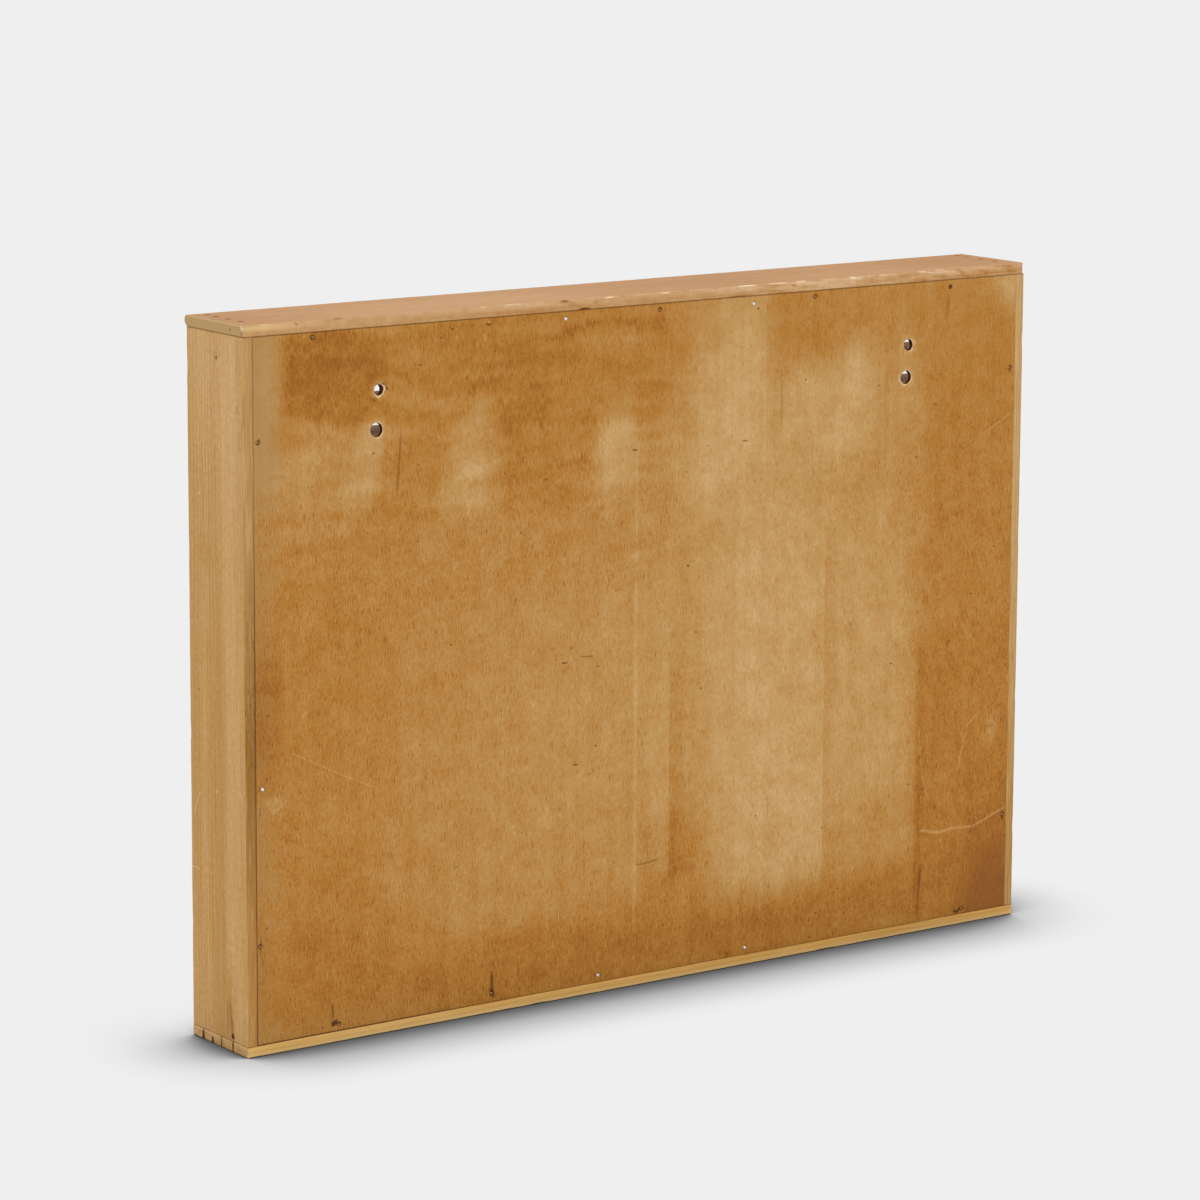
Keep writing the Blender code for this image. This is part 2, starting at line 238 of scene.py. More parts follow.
def loft(bm, rings):
    """Joins closed rings of points, in mm, and caps both ends."""
    made = [[bm.verts.new(Vector(p) * MM) for p in ring] for ring in rings]
    for one, two in zip(made, made[1:]):
        for i in range(len(one)):
            j = (i + 1) % len(one)
            bm.faces.new((one[i], one[j], two[j], two[i]))
    bm.faces.new(made[0][::-1])
    bm.faces.new(made[-1])


# ------------------------------------------------------- side and end boards
def chipped(s, plain, ragged, chips, seed):
    """The radius of a worn arris at s: plain, plus fine raggedness, plus chips (place, half length, size)."""
    radius = plain * (1 + 0.30 * wave(s * 0.09, seed)) + ragged * max(
        0.0, wave(s * 0.05, seed + 4.1) + 0.45 * wave(s * 0.31, seed + 9.7) - 0.12
    )
    for place, half, size in chips:
        t = abs(s - place) / half
        if t < 1:
            rough = 1 + 0.3 * wave(s * 0.9, seed + place)
            radius = max(radius, plain + size * (1 - t * t) ** 0.6 * rough)
    return radius


TOP_REAR_CHIPS = (
    (273, 12, 1.0),
    (252, 5, 0.7),
    (233, 4, 1.3),
    (214, 6, 0.8),
    (188, 9, 0.7),
    (160, 7, 0.5),
    (121, 10, 0.7),
    (96, 7, 0.6),
    (70, 6, 1.5),
    (51, 7, 1.0),
    (37, 9, 1.6),
    (14, 8, 1.0),
    (-8, 12, 1.4),
    (-33, 6, 0.7),
    (-60, 9, 0.8),
    (-92, 10, 0.6),
    (-131, 5, 0.8),
    (-158, 6, 1.4),
    (-187, 7, 1.1),
    (-214, 5, 1.3),
    (-243, 9, 0.8),
    (-268, 6, 1.2),
    (-291, 6, 1.0),
)


def top_corners(s):
    nose = 3.25 + 0.05 * wave(s * 0.03, 2.2)
    rear_low = chipped(s, 0.16, 0.12, ((53.3, 3.6, 1.15), (-140, 3, 0.5)), 31.0)
    rear_top = chipped(s, 0.45, 0.55, TOP_REAR_CHIPS, 11.0)
    return (
        (Y_NOSE, UNDER_TOP, nose, 9),
        (Y_BACK, UNDER_TOP, rear_low, 4),
        (Y_BACK, TOP, min(rear_top, 2.3), 5),
        (Y_NOSE, TOP, nose, 7),
    )


def top_place(s, a, b):
    """The far rear corner is worn round, and the nose runs flatter underneath."""
    t = (-294.6 - s) / 4.4
    if t > 0 and a > 24:
        a -= 2.2 * (1 - math.sqrt(max(0.0, 1 - t * t))) * min(1.0, (a - 24) / 8)
    if a < Y_NOSE + 4.4 and b < UNDER_TOP + 3.2:
        reach = 1 - (a - Y_NOSE) / 4.4
        b = min(b + 1.1 * reach * reach, UNDER_TOP + 3.2) if b < UNDER_TOP + 2.4 else b
    return s, a, b


def top_dent(s, a, b, wa, wb):
    """Slight unevenness of the planed top, and a few knocks."""
    sink = 0.05 + 0.05 * wave(s * 0.012, a * 0.05, 3.0)
    if wb < -0.5:
        sink += 0.03 * wave(s * 0.05, a * 0.5, 7.0)
        for x, y, half, depth in (
            (262, -4, 5, 0.25),
            (208, 20, 4, 0.2),
            (140, -12, 7, 0.2),
            (66, 26, 5, 0.3),
            (-90, 8, 6, 0.25),
            (-181, -17, 5, 0.25),
            (-250, 22, 4, 0.2),
        ):
            t = math.hypot((s - x) / half, (a - y) / (half * 0.4))
            if t < 1:
                sink += depth * (1 - t * t) ** 2
    return max(0.0, sink)


top_skin = board(
    "top_board_worn",
    -X_OUT,
    X_OUT,
    top_corners,
    (16, 3, 18, 1),
    top_place,
    1.6,
    0.45,
    top_dent,
)


def bottom_corners(s):
    return (
        (Y_FRONT, 0.0, chipped(s, 0.55, 0.25, ((-220, 6, 0.6), (130, 4, 0.5)), 51.0), 4),
        (Y_BACK, 0.0, chipped(s, 0.6, 0.3, ((-140, 8, 0.5), (88, 6, 0.6)), 57.0), 4),
        (
            Y_BACK,
            OVER_BOTTOM,
            chipped(s, 0.25, 0.2, ((190, 4, 0.4), (-60, 5, 0.4), (-232, 4, 0.5)), 61.0),
            3,
        ),
        (Y_FRONT, OVER_BOTTOM, chipped(s, 0.35, 0.2, (), 67.0), 3),
    )


def plain_dent(s, a, b, wa, wb):
    return max(0.0, 0.04 + 0.04 * wave(s * 0.014, a * 0.06 + b * 0.03, 5.0))


bottom_skin = board(
    "bottom_board_worn",
    -X_OUT,
    X_OUT,
    bottom_corners,
    (14, 2, 14, 2),
    lambda s, a, b: (s, a, b),
    2.0,
    0.4,
    plain_dent,
)


def side_board(name, sign, seed, chips_rear, chips_front, knocks):
    def corners_at(s):
        return (
            (X_IN, Y_FRONT, chipped(s, 0.35, 0.2, (), seed + 3.0), 3),
            (X_OUT, Y_FRONT, chipped(s, 0.65, 0.35, chips_front, seed + 5.0), 4),
            (X_OUT, Y_BACK, chipped(s, 0.6, 0.35, chips_rear, seed + 7.0), 4),
            (X_OUT - LIP, Y_BACK, chipped(s, 0.12, 0.08, (), seed + 9.0), 2),
            (X_OUT - LIP, Y_BACK - RABBET, 0.1, 1),
            (X_IN, Y_BACK - RABBET, 0.2, 1),
        )

    def dent(s, a, b, wa, wb):
        sink = 0.04 + 0.04 * wave(s * 0.02, b * 0.08, seed)
        if wa < -0.9 and a > X_OUT - 1:
            sink += 0.02 * wave(s * 0.006, b * 1.7, seed + 2)
            for y, z, half_y, half_z, depth in knocks:
                t = math.hypot((b - y) / half_y, (s - z) / half_z)
                if t < 1:
                    sink += depth * (1 - t * t) ** 2
        return max(0.0, sink)

    return board(
        name,
        OVER_BOTTOM + 0.12,
        UNDER_TOP - 0.08,
        corners_at,
        (4, 26, 2, 2, 2, 14),
        lambda s, a, b: (sign * a, b, s),
        2.0,
        0.15,
        dent,
    )


side_right = side_board(
    "side_right_worn",
    1,
    70.0,
    ((403, 5, 0.5), (356, 4, 0.4), (232, 9, 0.5), (118, 5, 0.4), (30, 5, 0.5)),
    ((410, 6, 0.5), (300, 8, 0.4), (188, 5, 0.6), (70, 6, 0.4)),
    (
        (3.2, 418.0, 2.2, 2.6, 0.35),
        (-20.3, 215.0, 1.6, 1.9, 0.35),
        (26.5, 389.0, 1.4, 3.2, 0.25),
        (8.2, 364.0, 1.2, 4.5, 0.15),
        (-23.0, 148.0, 2.4, 4.0, 0.15),
        (-26.8, 104.0, 1.2, 2.6, 0.15),
        (-2.0, 160.0, 6.0, 9.0, 0.12),
    ),
)
side_left = side_board(
    "side_left_worn",
    -1,
    90.0,
    ((388, 6, 0.6), (262, 10, 0.5), (150, 5, 0.5), (61, 6, 0.6)),
    ((330, 6, 0.5), (215, 5, 0.4), (96, 8, 0.5)),
    (
        (10.0, 350.0, 1.8, 3.0, 0.3),
        (-12.0, 240.0, 1.4, 5.0, 0.2),
        (4.0, 92.0, 3.0, 4.5, 0.25),
        (20.0, 180.0, 1.4, 2.2, 0.3),
    ),
)


# ----------------------------------------------------------------- nail slots
def slot_boxes(x, places, z, inward, half_x, half_y, deep):
    out = []
    for sign in (-1, 1):
        for y in places:
            low, high = sorted((z - inward * 1.0, z + inward * deep))
            out.append(
                (
                    (sign * x - half_x, y - half_y, low),
                    (sign * x + half_x, y + half_y, high),
                )
            )
    return boxes(out)


def slit_pockets(x, places, z, inward, seed):
    """Ragged oval pockets that the driven T heads have left in the skin."""
    bm = bmesh.new()
    for sign in (-1, 1):
        for n, y in enumerate(places):
            rings = []
            for level, grow in ((-1.0, 0.35), (0.0, 0.25), (0.35, 0.06), (1.8, 0.0)):
                ring = []
                for k in range(22):
                    angle = 2 * math.pi * k / 22
                    rough = 1 + 0.10 * wave(3 * math.cos(angle), 3 * math.sin(angle), seed + n + sign)
                    half_x, half_y = 2.12 + grow * 1.1, 0.86 + grow * 0.5
                    power = 0.55
                    ca, sa = math.cos(angle), math.sin(angle)
                    ring.append(
                        (
                            sign * x + half_x * rough * math.copysign(abs(ca) ** power, ca),
                            y + half_y * rough * math.copysign(abs(sa) ** power, sa),
                            z + inward * level,
                        )
                    )
                rings.append(ring)
            loft(bm, rings)
    return bm


def rods(places, y_from, y_to, segments=10):
    bm = bmesh.new()
    for x, z, radius in places:
        ring = [
            (
                radius * math.cos(2 * math.pi * k / segments),
                radius * math.sin(2 * math.pi * k / segments),
            )
            for k in range(segments)
        ]
        loft(bm, [[(x + a, y, z + b) for a, b in ring] for y in (y_from, y_to)])
    return bm


SHANK_X, SHANK_Y, SHANK_DEEP = 1.0, 0.9, 23.0
carve(
    top_skin,
    slit_pockets(TOP_NAIL_X, TOP_NAIL_Y, TOP, -1, 3.0),
    slot_boxes(TOP_NAIL_X, TOP_NAIL_Y, TOP, -1, SHANK_X, SHANK_Y, SHANK_DEEP),
)

# split marks in the ends of the bottom board, over the nails that made them:
# (share of the depth, half width at the underside, half width on top, height of the split)
END_SPLITS = ((0.19, 1.55, 0.5, 6.0), (0.36, 1.35, 0.25, 4.2), (0.52, 0.3, 0.35, 7.4), (0.73, 0.4, 0.75, 7.4))


def end_splits():
    bm = bmesh.new()
    for sign in (-1, 1):
        for n, (share, low_half, top_half, height) in enumerate(END_SPLITS):
            y = Y_FRONT + share * DEPTH
            rings = []
            for level in (-1.0, 0.0, 0.3, 0.6, 0.8, 1.0):
                z = height * max(level, 0) - (1.0 if level < 0 else 0)
                half = low_half + (top_half - low_half) * max(level, 0)
                wobble = 0.22 * wave(level * 2.3, n * 3.7, sign * 1.0)
                deep = 1.15 + 0.2 * wave(level * 1.7, n * 1.9, 4.0 + sign)
                x_out, x_deep = sign * (X_OUT + 1.0), sign * (X_OUT - deep)
                rings.append(
                    [
                        (x_out, y - half - 0.15 + wobble, z),
                        (x_out, y + half + 0.15 + wobble, z),
                        (x_deep, y + half * 0.55 + wobble, z),
                        (x_deep - sign * 0.25, y + wobble, z),
                        (x_deep, y - half * 0.55 + wobble, z),
                    ]
                )
            loft(bm, rings)
    return bm


carve(
    bottom_skin,
    slit_pockets(BOTTOM_NAIL_X, BOTTOM_NAIL_Y, 0.0, 1, 13.0),
    slot_boxes(BOTTOM_NAIL_X, BOTTOM_NAIL_Y, 0.0, 1, SHANK_X, SHANK_Y, SHANK_DEEP),
    end_splits(),
)

for side, sign in ((side_right, 1), (side_left, -1)):
    inner = sign * (X_IN - 2)
    groove = sign * (X_IN + SIDE_DADO)
    carve(
        side,
        boxes(
            [
                (
                    (
                        min(inner, groove),
                        LATTICE_FRONT - GAP,
                        FIRST_FLOOR + row * PITCH - SLAT - GAP,
                    ),
                    (max(inner, groove), Y_BACK + 1, FIRST_FLOOR + row * PITCH + GAP),
                )
                for row in range(1, ROWS)
            ]
        ),
        slot_boxes(TOP_NAIL_X, TOP_NAIL_Y, TOP, -1, SHANK_X, SHANK_Y, SHANK_DEEP),
        slot_boxes(BOTTOM_NAIL_X, BOTTOM_NAIL_Y, 0.0, 1, SHANK_X, SHANK_Y, SHANK_DEEP),
        rods(
            [(x, z, 0.9) for x, z in PANEL_NAILS + EXTRA_NAILS if x * sign > X_IN - 2],
            Y_BACK + 1,
            Y_BACK - 12.6,
            8,
        ),
    )


# ---------------------------------------------------------------- back panel
def spaced(low, high, step, edge=(0.0, 0.12, 0.4, 1.0)):
    count = round((high - low - 2 * edge[-1]) / step)
    inner = [
        low + edge[-1] + (high - low - 2 * edge[-1]) * k / count
        for k in range(1, count)
    ]
    return [low + e for e in edge] + inner + [high - e for e in reversed(edge)]


SNUG = 0.08
P_X = X_OUT - LIP - SNUG
P_LOW, P_HIGH = OVER_BOTTOM + SNUG, UNDER_TOP - SNUG
PANEL_CHIPS = (
    # X, Z, half size along the edge, how far in, how deep
    (-292.1, 300.0, 5, 1.3, 0.5),
    (-292.1, 128.0, 4, 1.2, 0.5),
    (-292.1, 88.0, 3, 1.8, 0.8),
    (292.1, 330.0, 6, 1.0, 0.5),
    (292.1, 250.0, 9, 0.8, 0.4),
    (292.1, 96.0, 6, 1.0, 0.5),
    (53.0, 432.7, 5, 1.3, 0.7),
    (-206.0, 432.7, 5, 1.0, 0.5),
    (160.0, 6.7, 6, 1.1, 0.5),
    (-40.0, 6.7, 5, 1.0, 0.4),
    (-262.0, 6.7, 6, 1.3, 0.5),
)
# veneer joints in the rear face: X at the top, lean, half width, depth
JOINTS = ((15.0, 0.6, 0.55, 0.10), (-11.5, 0.3, 0.5, 0.09), (-135.5, -0.4, 0.5, 0.09))


def rear_skin(x, z):
    """How far the panel's rear face lies under its highest plane at x, z."""
    sink = 0.05 + 0.03 * wave(x * 0.02, z * 0.006, 1.0) + 0.018 * wave(x * 0.25, z * 0.02, 8.0)
    edge = min(P_X - abs(x), z - P_LOW, P_HIGH - z)
    if edge < 0.9:
        worn = 0.12 + 0.10 * wave(x * 0.12, z * 0.12, 4.0)
        worn *= 1.0 if x > 0 or edge < P_X - abs(x) else 0.4
        sink += worn * (1 - edge / 0.9) ** 2
    for cx, cz, half, reach, deep in PANEL_CHIPS:
        if abs(cx) > 292:
            along, off = (z - cz) / half, (P_X - abs(x)) / reach if cx * x > 0 else 9
        else:
            along, off = (x - cx) / half, abs(z - cz) / reach
        t = math.hypot(along, off)
        if t < 1:
            sink += deep * (1 - t * t)
    for cx, lean, half, deep in JOINTS:
        t = abs(x - cx - lean * wave(z * 0.01, cx)) / half
        if t < 1:
            sink += deep * (1 - t)
    return sink


def panel_slab():
    xs = spaced(-P_X, P_X, 2.9)
    for cx, *_ in JOINTS:
        xs += [cx - 0.6, cx, cx + 0.6]
    xs = sorted(xs)
    zs = spaced(P_LOW, P_HIGH, 2.9)
    bm = bmesh.new()
    rear, front = [], []
    for x in xs:
        rear_row, front_row = [], []
        for z in zs:
            rear_row.append(bm.verts.new(Vector((x, Y_BACK - rear_skin(x, z), z)) * MM))
            edge = min(P_X - abs(x), z - P_LOW, P_HIGH - z)
            in_by = 0.15 * (1 - min(edge, 0.4) / 0.4)
            front_row.append(
                bm.verts.new(Vector((x, Y_BACK - PANEL + 0.02 + in_by, z)) * MM)
            )
        rear.append(rear_row)
        front.append(front_row)
    nx, nz = len(xs), len(zs)
    for i in range(nx - 1):
        for j in range(nz - 1):
            bm.faces.new((rear[i][j], rear[i][j + 1], rear[i + 1][j + 1], rear[i + 1][j]))
            bm.faces.new(
                (front[i][j], front[i + 1][j], front[i + 1][j + 1], front[i][j + 1])
            )
    for i in range(nx - 1):
        for j in (0, nz - 1):
            bm.faces.new((rear[i][j], rear[i + 1][j], front[i + 1][j], front[i][j]))
    for j in range(nz - 1):
        for i in (0, nx - 1):
            bm.faces.new((rear[i][j], rear[i][j + 1], front[i][j + 1], front[i][j]))
    bmesh.ops.recalc_face_normals(bm, faces=bm.faces)
    return as_object("back_panel_worn", bm)


def ragged_holes():
    """Cutters for the hang holes: a rough bore, and a shallow crater where the veneer broke out.
    The last column lists the breaks as (angle in degrees, half spread, reach)."""
    bm = bmesh.new()
    breaks = (
        ((20, 45, 1.3), (150, 60, 0.8), (250, 50, 1.7), (320, 25, 0.8)),
        ((75, 40, 1.2), (175, 35, 1.0), (250, 50, 0.8), (330, 30, 0.7)),
        ((40, 50, 1.1), (130, 35, 1.4), (215, 40, 0.8), (300, 30, 1.0)),
        ((60, 40, 0.9), (185, 42, 2.3), (240, 35, 1.8), (330, 40, 0.7)),
    )
    for number, (x, z, radius) in enumerate(HANG_HOLES):
        levels = (
            (Y_BACK + 1.0, 1.0, 1.0),
            (Y_BACK - 0.05, 1.0, 1.0),
            (Y_BACK - 0.42, 0.62, 1.0),
            (Y_BACK - 0.62, 0.12, 1.0),
            (Y_BACK - 1.4, 0.0, 0.985),
            (Y_BACK - 2.5, 0.0, 1.0),
            (Y_BACK - PANEL - 1.0, 0.0, 1.03),
        )
        rings = []
        for n, (y, open_by, bore) in enumerate(levels):
            ring = []
            aside = (1.15, 0.25, 0.35, 0.25)[number] * (n > 3)
            for k in range(56):
                angle = 2 * math.pi * k / 56
                ca, sa = math.cos(angle), math.sin(angle)
                r = radius * bore + 0.17 * wave(ca * 2.2, sa * 2.2, number * 5.0 + y * 0.3)
                reach = 0.3 + 0.25 * wave(ca * 3.1, sa * 3.1, number * 7.0)
                for at, spread, far in breaks[number]:
                    off = abs((math.degrees(angle) - at + 180) % 360 - 180) / spread
                    if off < 1:
                        rough = 1 + 0.28 * wave(ca * 9, sa * 9, number + at)
                        reach = max(reach, far * (1 - off**3) * rough)
                r += max(reach, 0.05) * open_by
                ring.append((x + aside - r * ca, y, z + r * sa))
            rings.append(ring)
        loft(bm, rings)
    return bm


def nail_craters():
    """Shallow ragged dishes under the panel nails' heads, with the head's pocket in the middle."""
    bm = bmesh.new()
    for number, (x, z) in enumerate(PANEL_NAILS + EXTRA_NAILS, 1):
        dull = number not in BRIGHT
        wide = 1.46 if dull else 1.42
        levels = ((1.0, wide + 0.25), (-0.02, wide + 0.25), (-0.25, wide), (-0.95, 1.42))
        rings = []
        for n, (out, radius) in enumerate(levels):
            ring = []
            for k in range(26):
                angle = 2 * math.pi * k / 26
                ca, sa = math.cos(angle), math.sin(angle)
                rough = 1 + (0.13 if dull else 0.05) * wave(ca * 2.7, sa * 2.7, number * 3.0) * (n < 3)
                ring.append((x + radius * rough * ca, Y_BACK + out, z + radius * rough * sa))
            rings.append(ring)
        loft(bm, rings)
    return bm


panel = panel_slab()
carve(
    panel,
    ragged_holes(),
    nail_craters(),
    rods([(x, z, 0.9) for x, z in PANEL_NAILS + EXTRA_NAILS], Y_BACK + 2, Y_BACK - 9, 8),
)


# --------------------------------------------------------------- nail heads
def nail_mesh(name, x, z, bright, seed):
    """A round-headed nail: domed, slightly out of round, with the hammer's flat on it."""
    if bright:
        profile = (
            (0.0, -0.03),
            (0.35, -0.04),
            (0.7, -0.08),
            (0.98, -0.17),
            (1.16, -0.30),
            (1.22, -0.42),
            (1.16, -0.52),
            (0.62, -0.60),
        )
    else:
        profile = (
            (0.0, -0.34),
            (0.3, -0.36),
            (0.62, -0.38),
            (0.92, -0.44),
            (1.08, -0.53),
            (1.12, -0.62),
            (1.05, -0.70),
            (0.62, -0.76),
        )
    profile += ((0.6, -3.0), (0.6, -7.0), (0.58, -10.0), (0.35, -11.3), (0.0, -12.0))
    around = 28
    bm = bmesh.new()
    rings = []
    for radius, out in profile:
        if radius == 0.0:
            rings.append([bm.verts.new(Vector((x, Y_BACK + out, z)) * MM)])
            continue
        ring = []
        for k in range(around):
            angle = 2 * math.pi * k / around
            ca, sa = math.cos(angle), math.sin(angle)
            rough = 1 + (0.035 if bright else 0.08) * wave(ca * 1.6, sa * 1.6, seed) * (out > -1)
            dimple = 0.05 * wave(ca * radius * 2.0 + seed, sa * radius * 2.0, seed) * (out > -0.6)
            ring.append(
                bm.verts.new(
                    Vector((x + radius * rough * ca, Y_BACK + min(out - abs(dimple), -0.02), z + radius * rough * sa)) * MM
                )
            )
        rings.append(ring)
    for one, two in zip(rings, rings[1:]):
        for k in range(around):
            m = (k + 1) % around
            if len(one) == 1:
                bm.faces.new((one[0], two[k], two[m]))
            elif len(two) == 1:
                bm.faces.new((one[k], two[0], one[m]))
            else:
                bm.faces.new((one[k], two[k], two[m], one[m]))
    bmesh.ops.recalc_face_normals(bm, faces=bm.faces)
    return as_object(name, bm)


nail_pieces = []
for number, (x, z) in enumerate(PANEL_NAILS, 1):
    bright = number in BRIGHT
    made = nail_mesh(f"panel_nail_head_{number:02d}", x, z, bright, number * 1.7)
    nail_pieces.append((made, f"panel_nail_{number:02d}", bright))
for number, (x, z) in enumerate(EXTRA_NAILS, 15):
    made = nail_mesh(f"panel_nail_head_{number:02d}", x, z, False, number * 1.7)
    nail_pieces.append((made, None, False))


# =============================================================== materials
def srgb(r, g, b):
    """A colour given in 0-255 display values, as the linear values a shader takes."""

    def one(v):
        v /= 255
        return v / 12.92 if v <= 0.04045 else ((v + 0.055) / 1.055) ** 2.4

    return one(r), one(g), one(b), 1.0


class Nodes:
    """Short names for building a node tree."""

    def __init__(self, tree):
        self.tree = tree

    def add(self, kind, **settings):
        node = self.tree.nodes.new("ShaderNode" + kind)
        for key, value in settings.items():
            setattr(node, key, value)
        return node

    def feed(self, socket, value):
        if value is None:
            return
        if isinstance(value, bpy.types.NodeSocket):
            self.tree.links.new(value, socket)
        else:
            socket.default_value = value

    def math(self, operation, a, b=None, c=None, clamp=False):
        node = self.add("Math", operation=operation, use_clamp=clamp)
        for socket, value in zip(node.inputs, (a, b, c)):
            self.feed(socket, value)
        return node.outputs[0]

    def plus(self, a, b):
        return self.math("ADD", a, b)

    def times(self, a, b):
        return self.math("MULTIPLY", a, b)

    def vector(self, operation, a, b=None, scale=None):
        node = self.add("VectorMath", operation=operation)
        self.feed(node.inputs[0], a)
        if b is not None:
            self.feed(node.inputs[1], b)
        if scale is not None:
            self.feed(node.inputs["Scale"], scale)
        return node.outputs["Value" if operation in ("LENGTH", "DOT_PRODUCT", "DISTANCE") else "Vector"]

    def split(self, vector):
        node = self.add("SeparateXYZ")
        self.feed(node.inputs[0], vector)
        return node.outputs[0], node.outputs[1], node.outputs[2]

    def join(self, x, y, z=0.0):
        node = self.add("CombineXYZ")
        for socket, value in zip(node.inputs, (x, y, z)):
            self.feed(socket, value)
        return node.outputs[0]

    def noise(self, x, y, z=0.0, detail=2.0, roughness=0.5, distortion=0.0, three=False):
        """Fractal noise, about 0.3 to 0.7, of unit-sized lumps; three gives three at once.
        A coordinate may be given as a pair, to be multiplied."""
        x, y, z = (self.times(*c) if isinstance(c, tuple) else c for c in (x, y, z))
        node = self.add("Group", node_tree=NOISE)
        for socket, value in zip(node.inputs, (x, y, z, detail, roughness, distortion)):
            self.feed(socket, value)
        return node.outputs[1:4] if three else node.outputs[0]

    def dots(self, x, y, z=0.0):
        """Distance to the nearest of scattered points, one per unit cell, and two numbers of that point's own."""
        x, y, z = (self.times(*c) if isinstance(c, tuple) else c for c in (x, y, z))
        node = self.add("Group", node_tree=DOTS)
        for socket, value in zip(node.inputs, (x, y, z)):
            self.feed(socket, value)
        return node.outputs[0], node.outputs[1], node.outputs[2]

    def ease(self, value, start, end, low=0.0, high=1.0, smooth=True):
        node = self.add("MapRange", clamp=True)
        node.interpolation_type = "SMOOTHSTEP" if smooth else "LINEAR"
        for name, given in (
            ("Value", value),
            ("From Min", start),
            ("From Max", end),
            ("To Min", low),
            ("To Max", high),
        ):
            self.feed(node.inputs[name], given)
        return node.outputs["Result"]

    def mix(self, share, a, b):
        """Between two numbers."""
        node = self.add("Mix", data_type="FLOAT", clamp_factor=True)
        self.feed(node.inputs[0], share)
        self.feed(node.inputs[2], a)
        self.feed(node.inputs[3], b)
        return node.outputs[0]

    def blend(self, share, a, b, how="MIX"):
        """Between two colours."""
        node = self.add("Mix", data_type="RGBA", blend_type=how, clamp_factor=True)
        self.feed(node.inputs[0], share)
        self.feed(node.inputs[6], a)
        self.feed(node.inputs[7], b)
        return node.outputs[2]

    def ramp(self, value, stops, how="LINEAR"):
        node = self.add("ValToRGB")
        node.color_ramp.interpolation = how
        elements = node.color_ramp.elements
        while len(elements) > 1:
            elements.remove(elements[-1])
        elements[0].position, elements[0].color = stops[0]
        for position, colour in stops[1:]:
            elements.new(position).color = colour
        self.feed(node.inputs[0], value)
        return node.outputs["Color"]


def new_group(name, inputs, outputs):
    group = bpy.data.node_groups.new(name, "ShaderNodeTree")
    for label, kind in inputs:
        group.interface.new_socket(name=label, in_out="INPUT", socket_type=kind)
    for label, kind in outputs:
        group.interface.new_socket(name=label, in_out="OUTPUT", socket_type=kind)
    n = Nodes(group)
    start = group.nodes.new("NodeGroupInput").outputs
    end = group.nodes.new("NodeGroupOutput").inputs
    return group, n, start, end


FLOAT, VECTOR = "NodeSocketFloat", "NodeSocketVector"


def noise_group():
    group, n, start, end = new_group(
        "fractal_noise",
        [(label, FLOAT) for label in ("X", "Y", "Z", "Detail", "Roughness", "Distortion")],
        [(label, FLOAT) for label in ("Value", "First", "Second", "Third")],
    )
    place = n.join(start["X"], start["Y"], start["Z"])
    node = n.add("TexNoise", noise_dimensions="3D")
    n.feed(node.inputs["Vector"], place)
    node.inputs["Scale"].default_value = 1.0
    for label in ("Detail", "Roughness", "Distortion"):
        n.feed(node.inputs[label], start[label])
    n.feed(end["Value"], node.outputs["Fac"])
    for label, part in zip(("First", "Second", "Third"), n.split(node.outputs["Color"])):
        n.feed(end[label], part)
    return group


def dots_group():
    group, n, start, end = new_group(
        "scattered_dots",
        [(label, FLOAT) for label in ("X", "Y", "Z")],
        [(label, FLOAT) for label in ("Distance", "First", "Second")],
    )
    place = n.join(start["X"], start["Y"], start["Z"])
    node = n.add("TexVoronoi", voronoi_dimensions="3D", feature="F1")
    n.feed(node.inputs["Vector"], place)
    node.inputs["Scale"].default_value = 1.0
    n.feed(end["Distance"], node.outputs["Distance"])
    first, second, _ = n.split(node.outputs["Color"])
    n.feed(end["First"], first)
    n.feed(end["Second"], second)
    return group


def place_group():
    """The surface point in the row frame, in mm."""
    group, n, start, end = new_group("place_in_mm", [], [(label, FLOAT) for label in "XYZ"])
    place = n.vector("SCALE", n.add("TexCoord").outputs["Object"], scale=1000.0)
    for label, part in zip("XYZ", n.split(place)):
        n.feed(end[label], part)
    return group


def patch_group():
    """Pulls a tone towards a target inside a soft-edged rounded patch."""
    group, n, start, end = new_group(
        "stain_patch",
        [
            ("Tone", FLOAT),
            ("U", FLOAT),
            ("V", FLOAT),
            ("Centre U", FLOAT),
            ("Centre V", FLOAT),
            ("Half U", FLOAT),
            ("Half V", FLOAT),
            ("Target", FLOAT),
            ("Strength", FLOAT),
            ("Soft", FLOAT),
            ("Power", FLOAT),
            ("Lean", FLOAT),
        ],
        [("Tone", FLOAT)],
    )
    off_v = n.math("SUBTRACT", start["V"], start["Centre V"])
    off_u = n.math("SUBTRACT", start["U"], start["Centre U"])
    off_u = n.math("SUBTRACT", off_u, n.times(off_v, start["Lean"]))
    part_u = n.math("POWER", n.math("ABSOLUTE", n.math("DIVIDE", off_u, start["Half U"])), start["Power"])
    part_v = n.math("POWER", n.math("ABSOLUTE", n.math("DIVIDE", off_v, start["Half V"])), start["Power"])
    reach = n.math("POWER", n.plus(part_u, part_v), n.math("DIVIDE", 1.0, start["Power"]))
    mask = n.ease(reach, n.plus(1.0, start["Soft"]), n.math("SUBTRACT", 1.0, start["Soft"]))
    mask = n.times(mask, start["Strength"])
    n.feed(end[0], n.mix(mask, start["Tone"], start["Target"]))
    return group


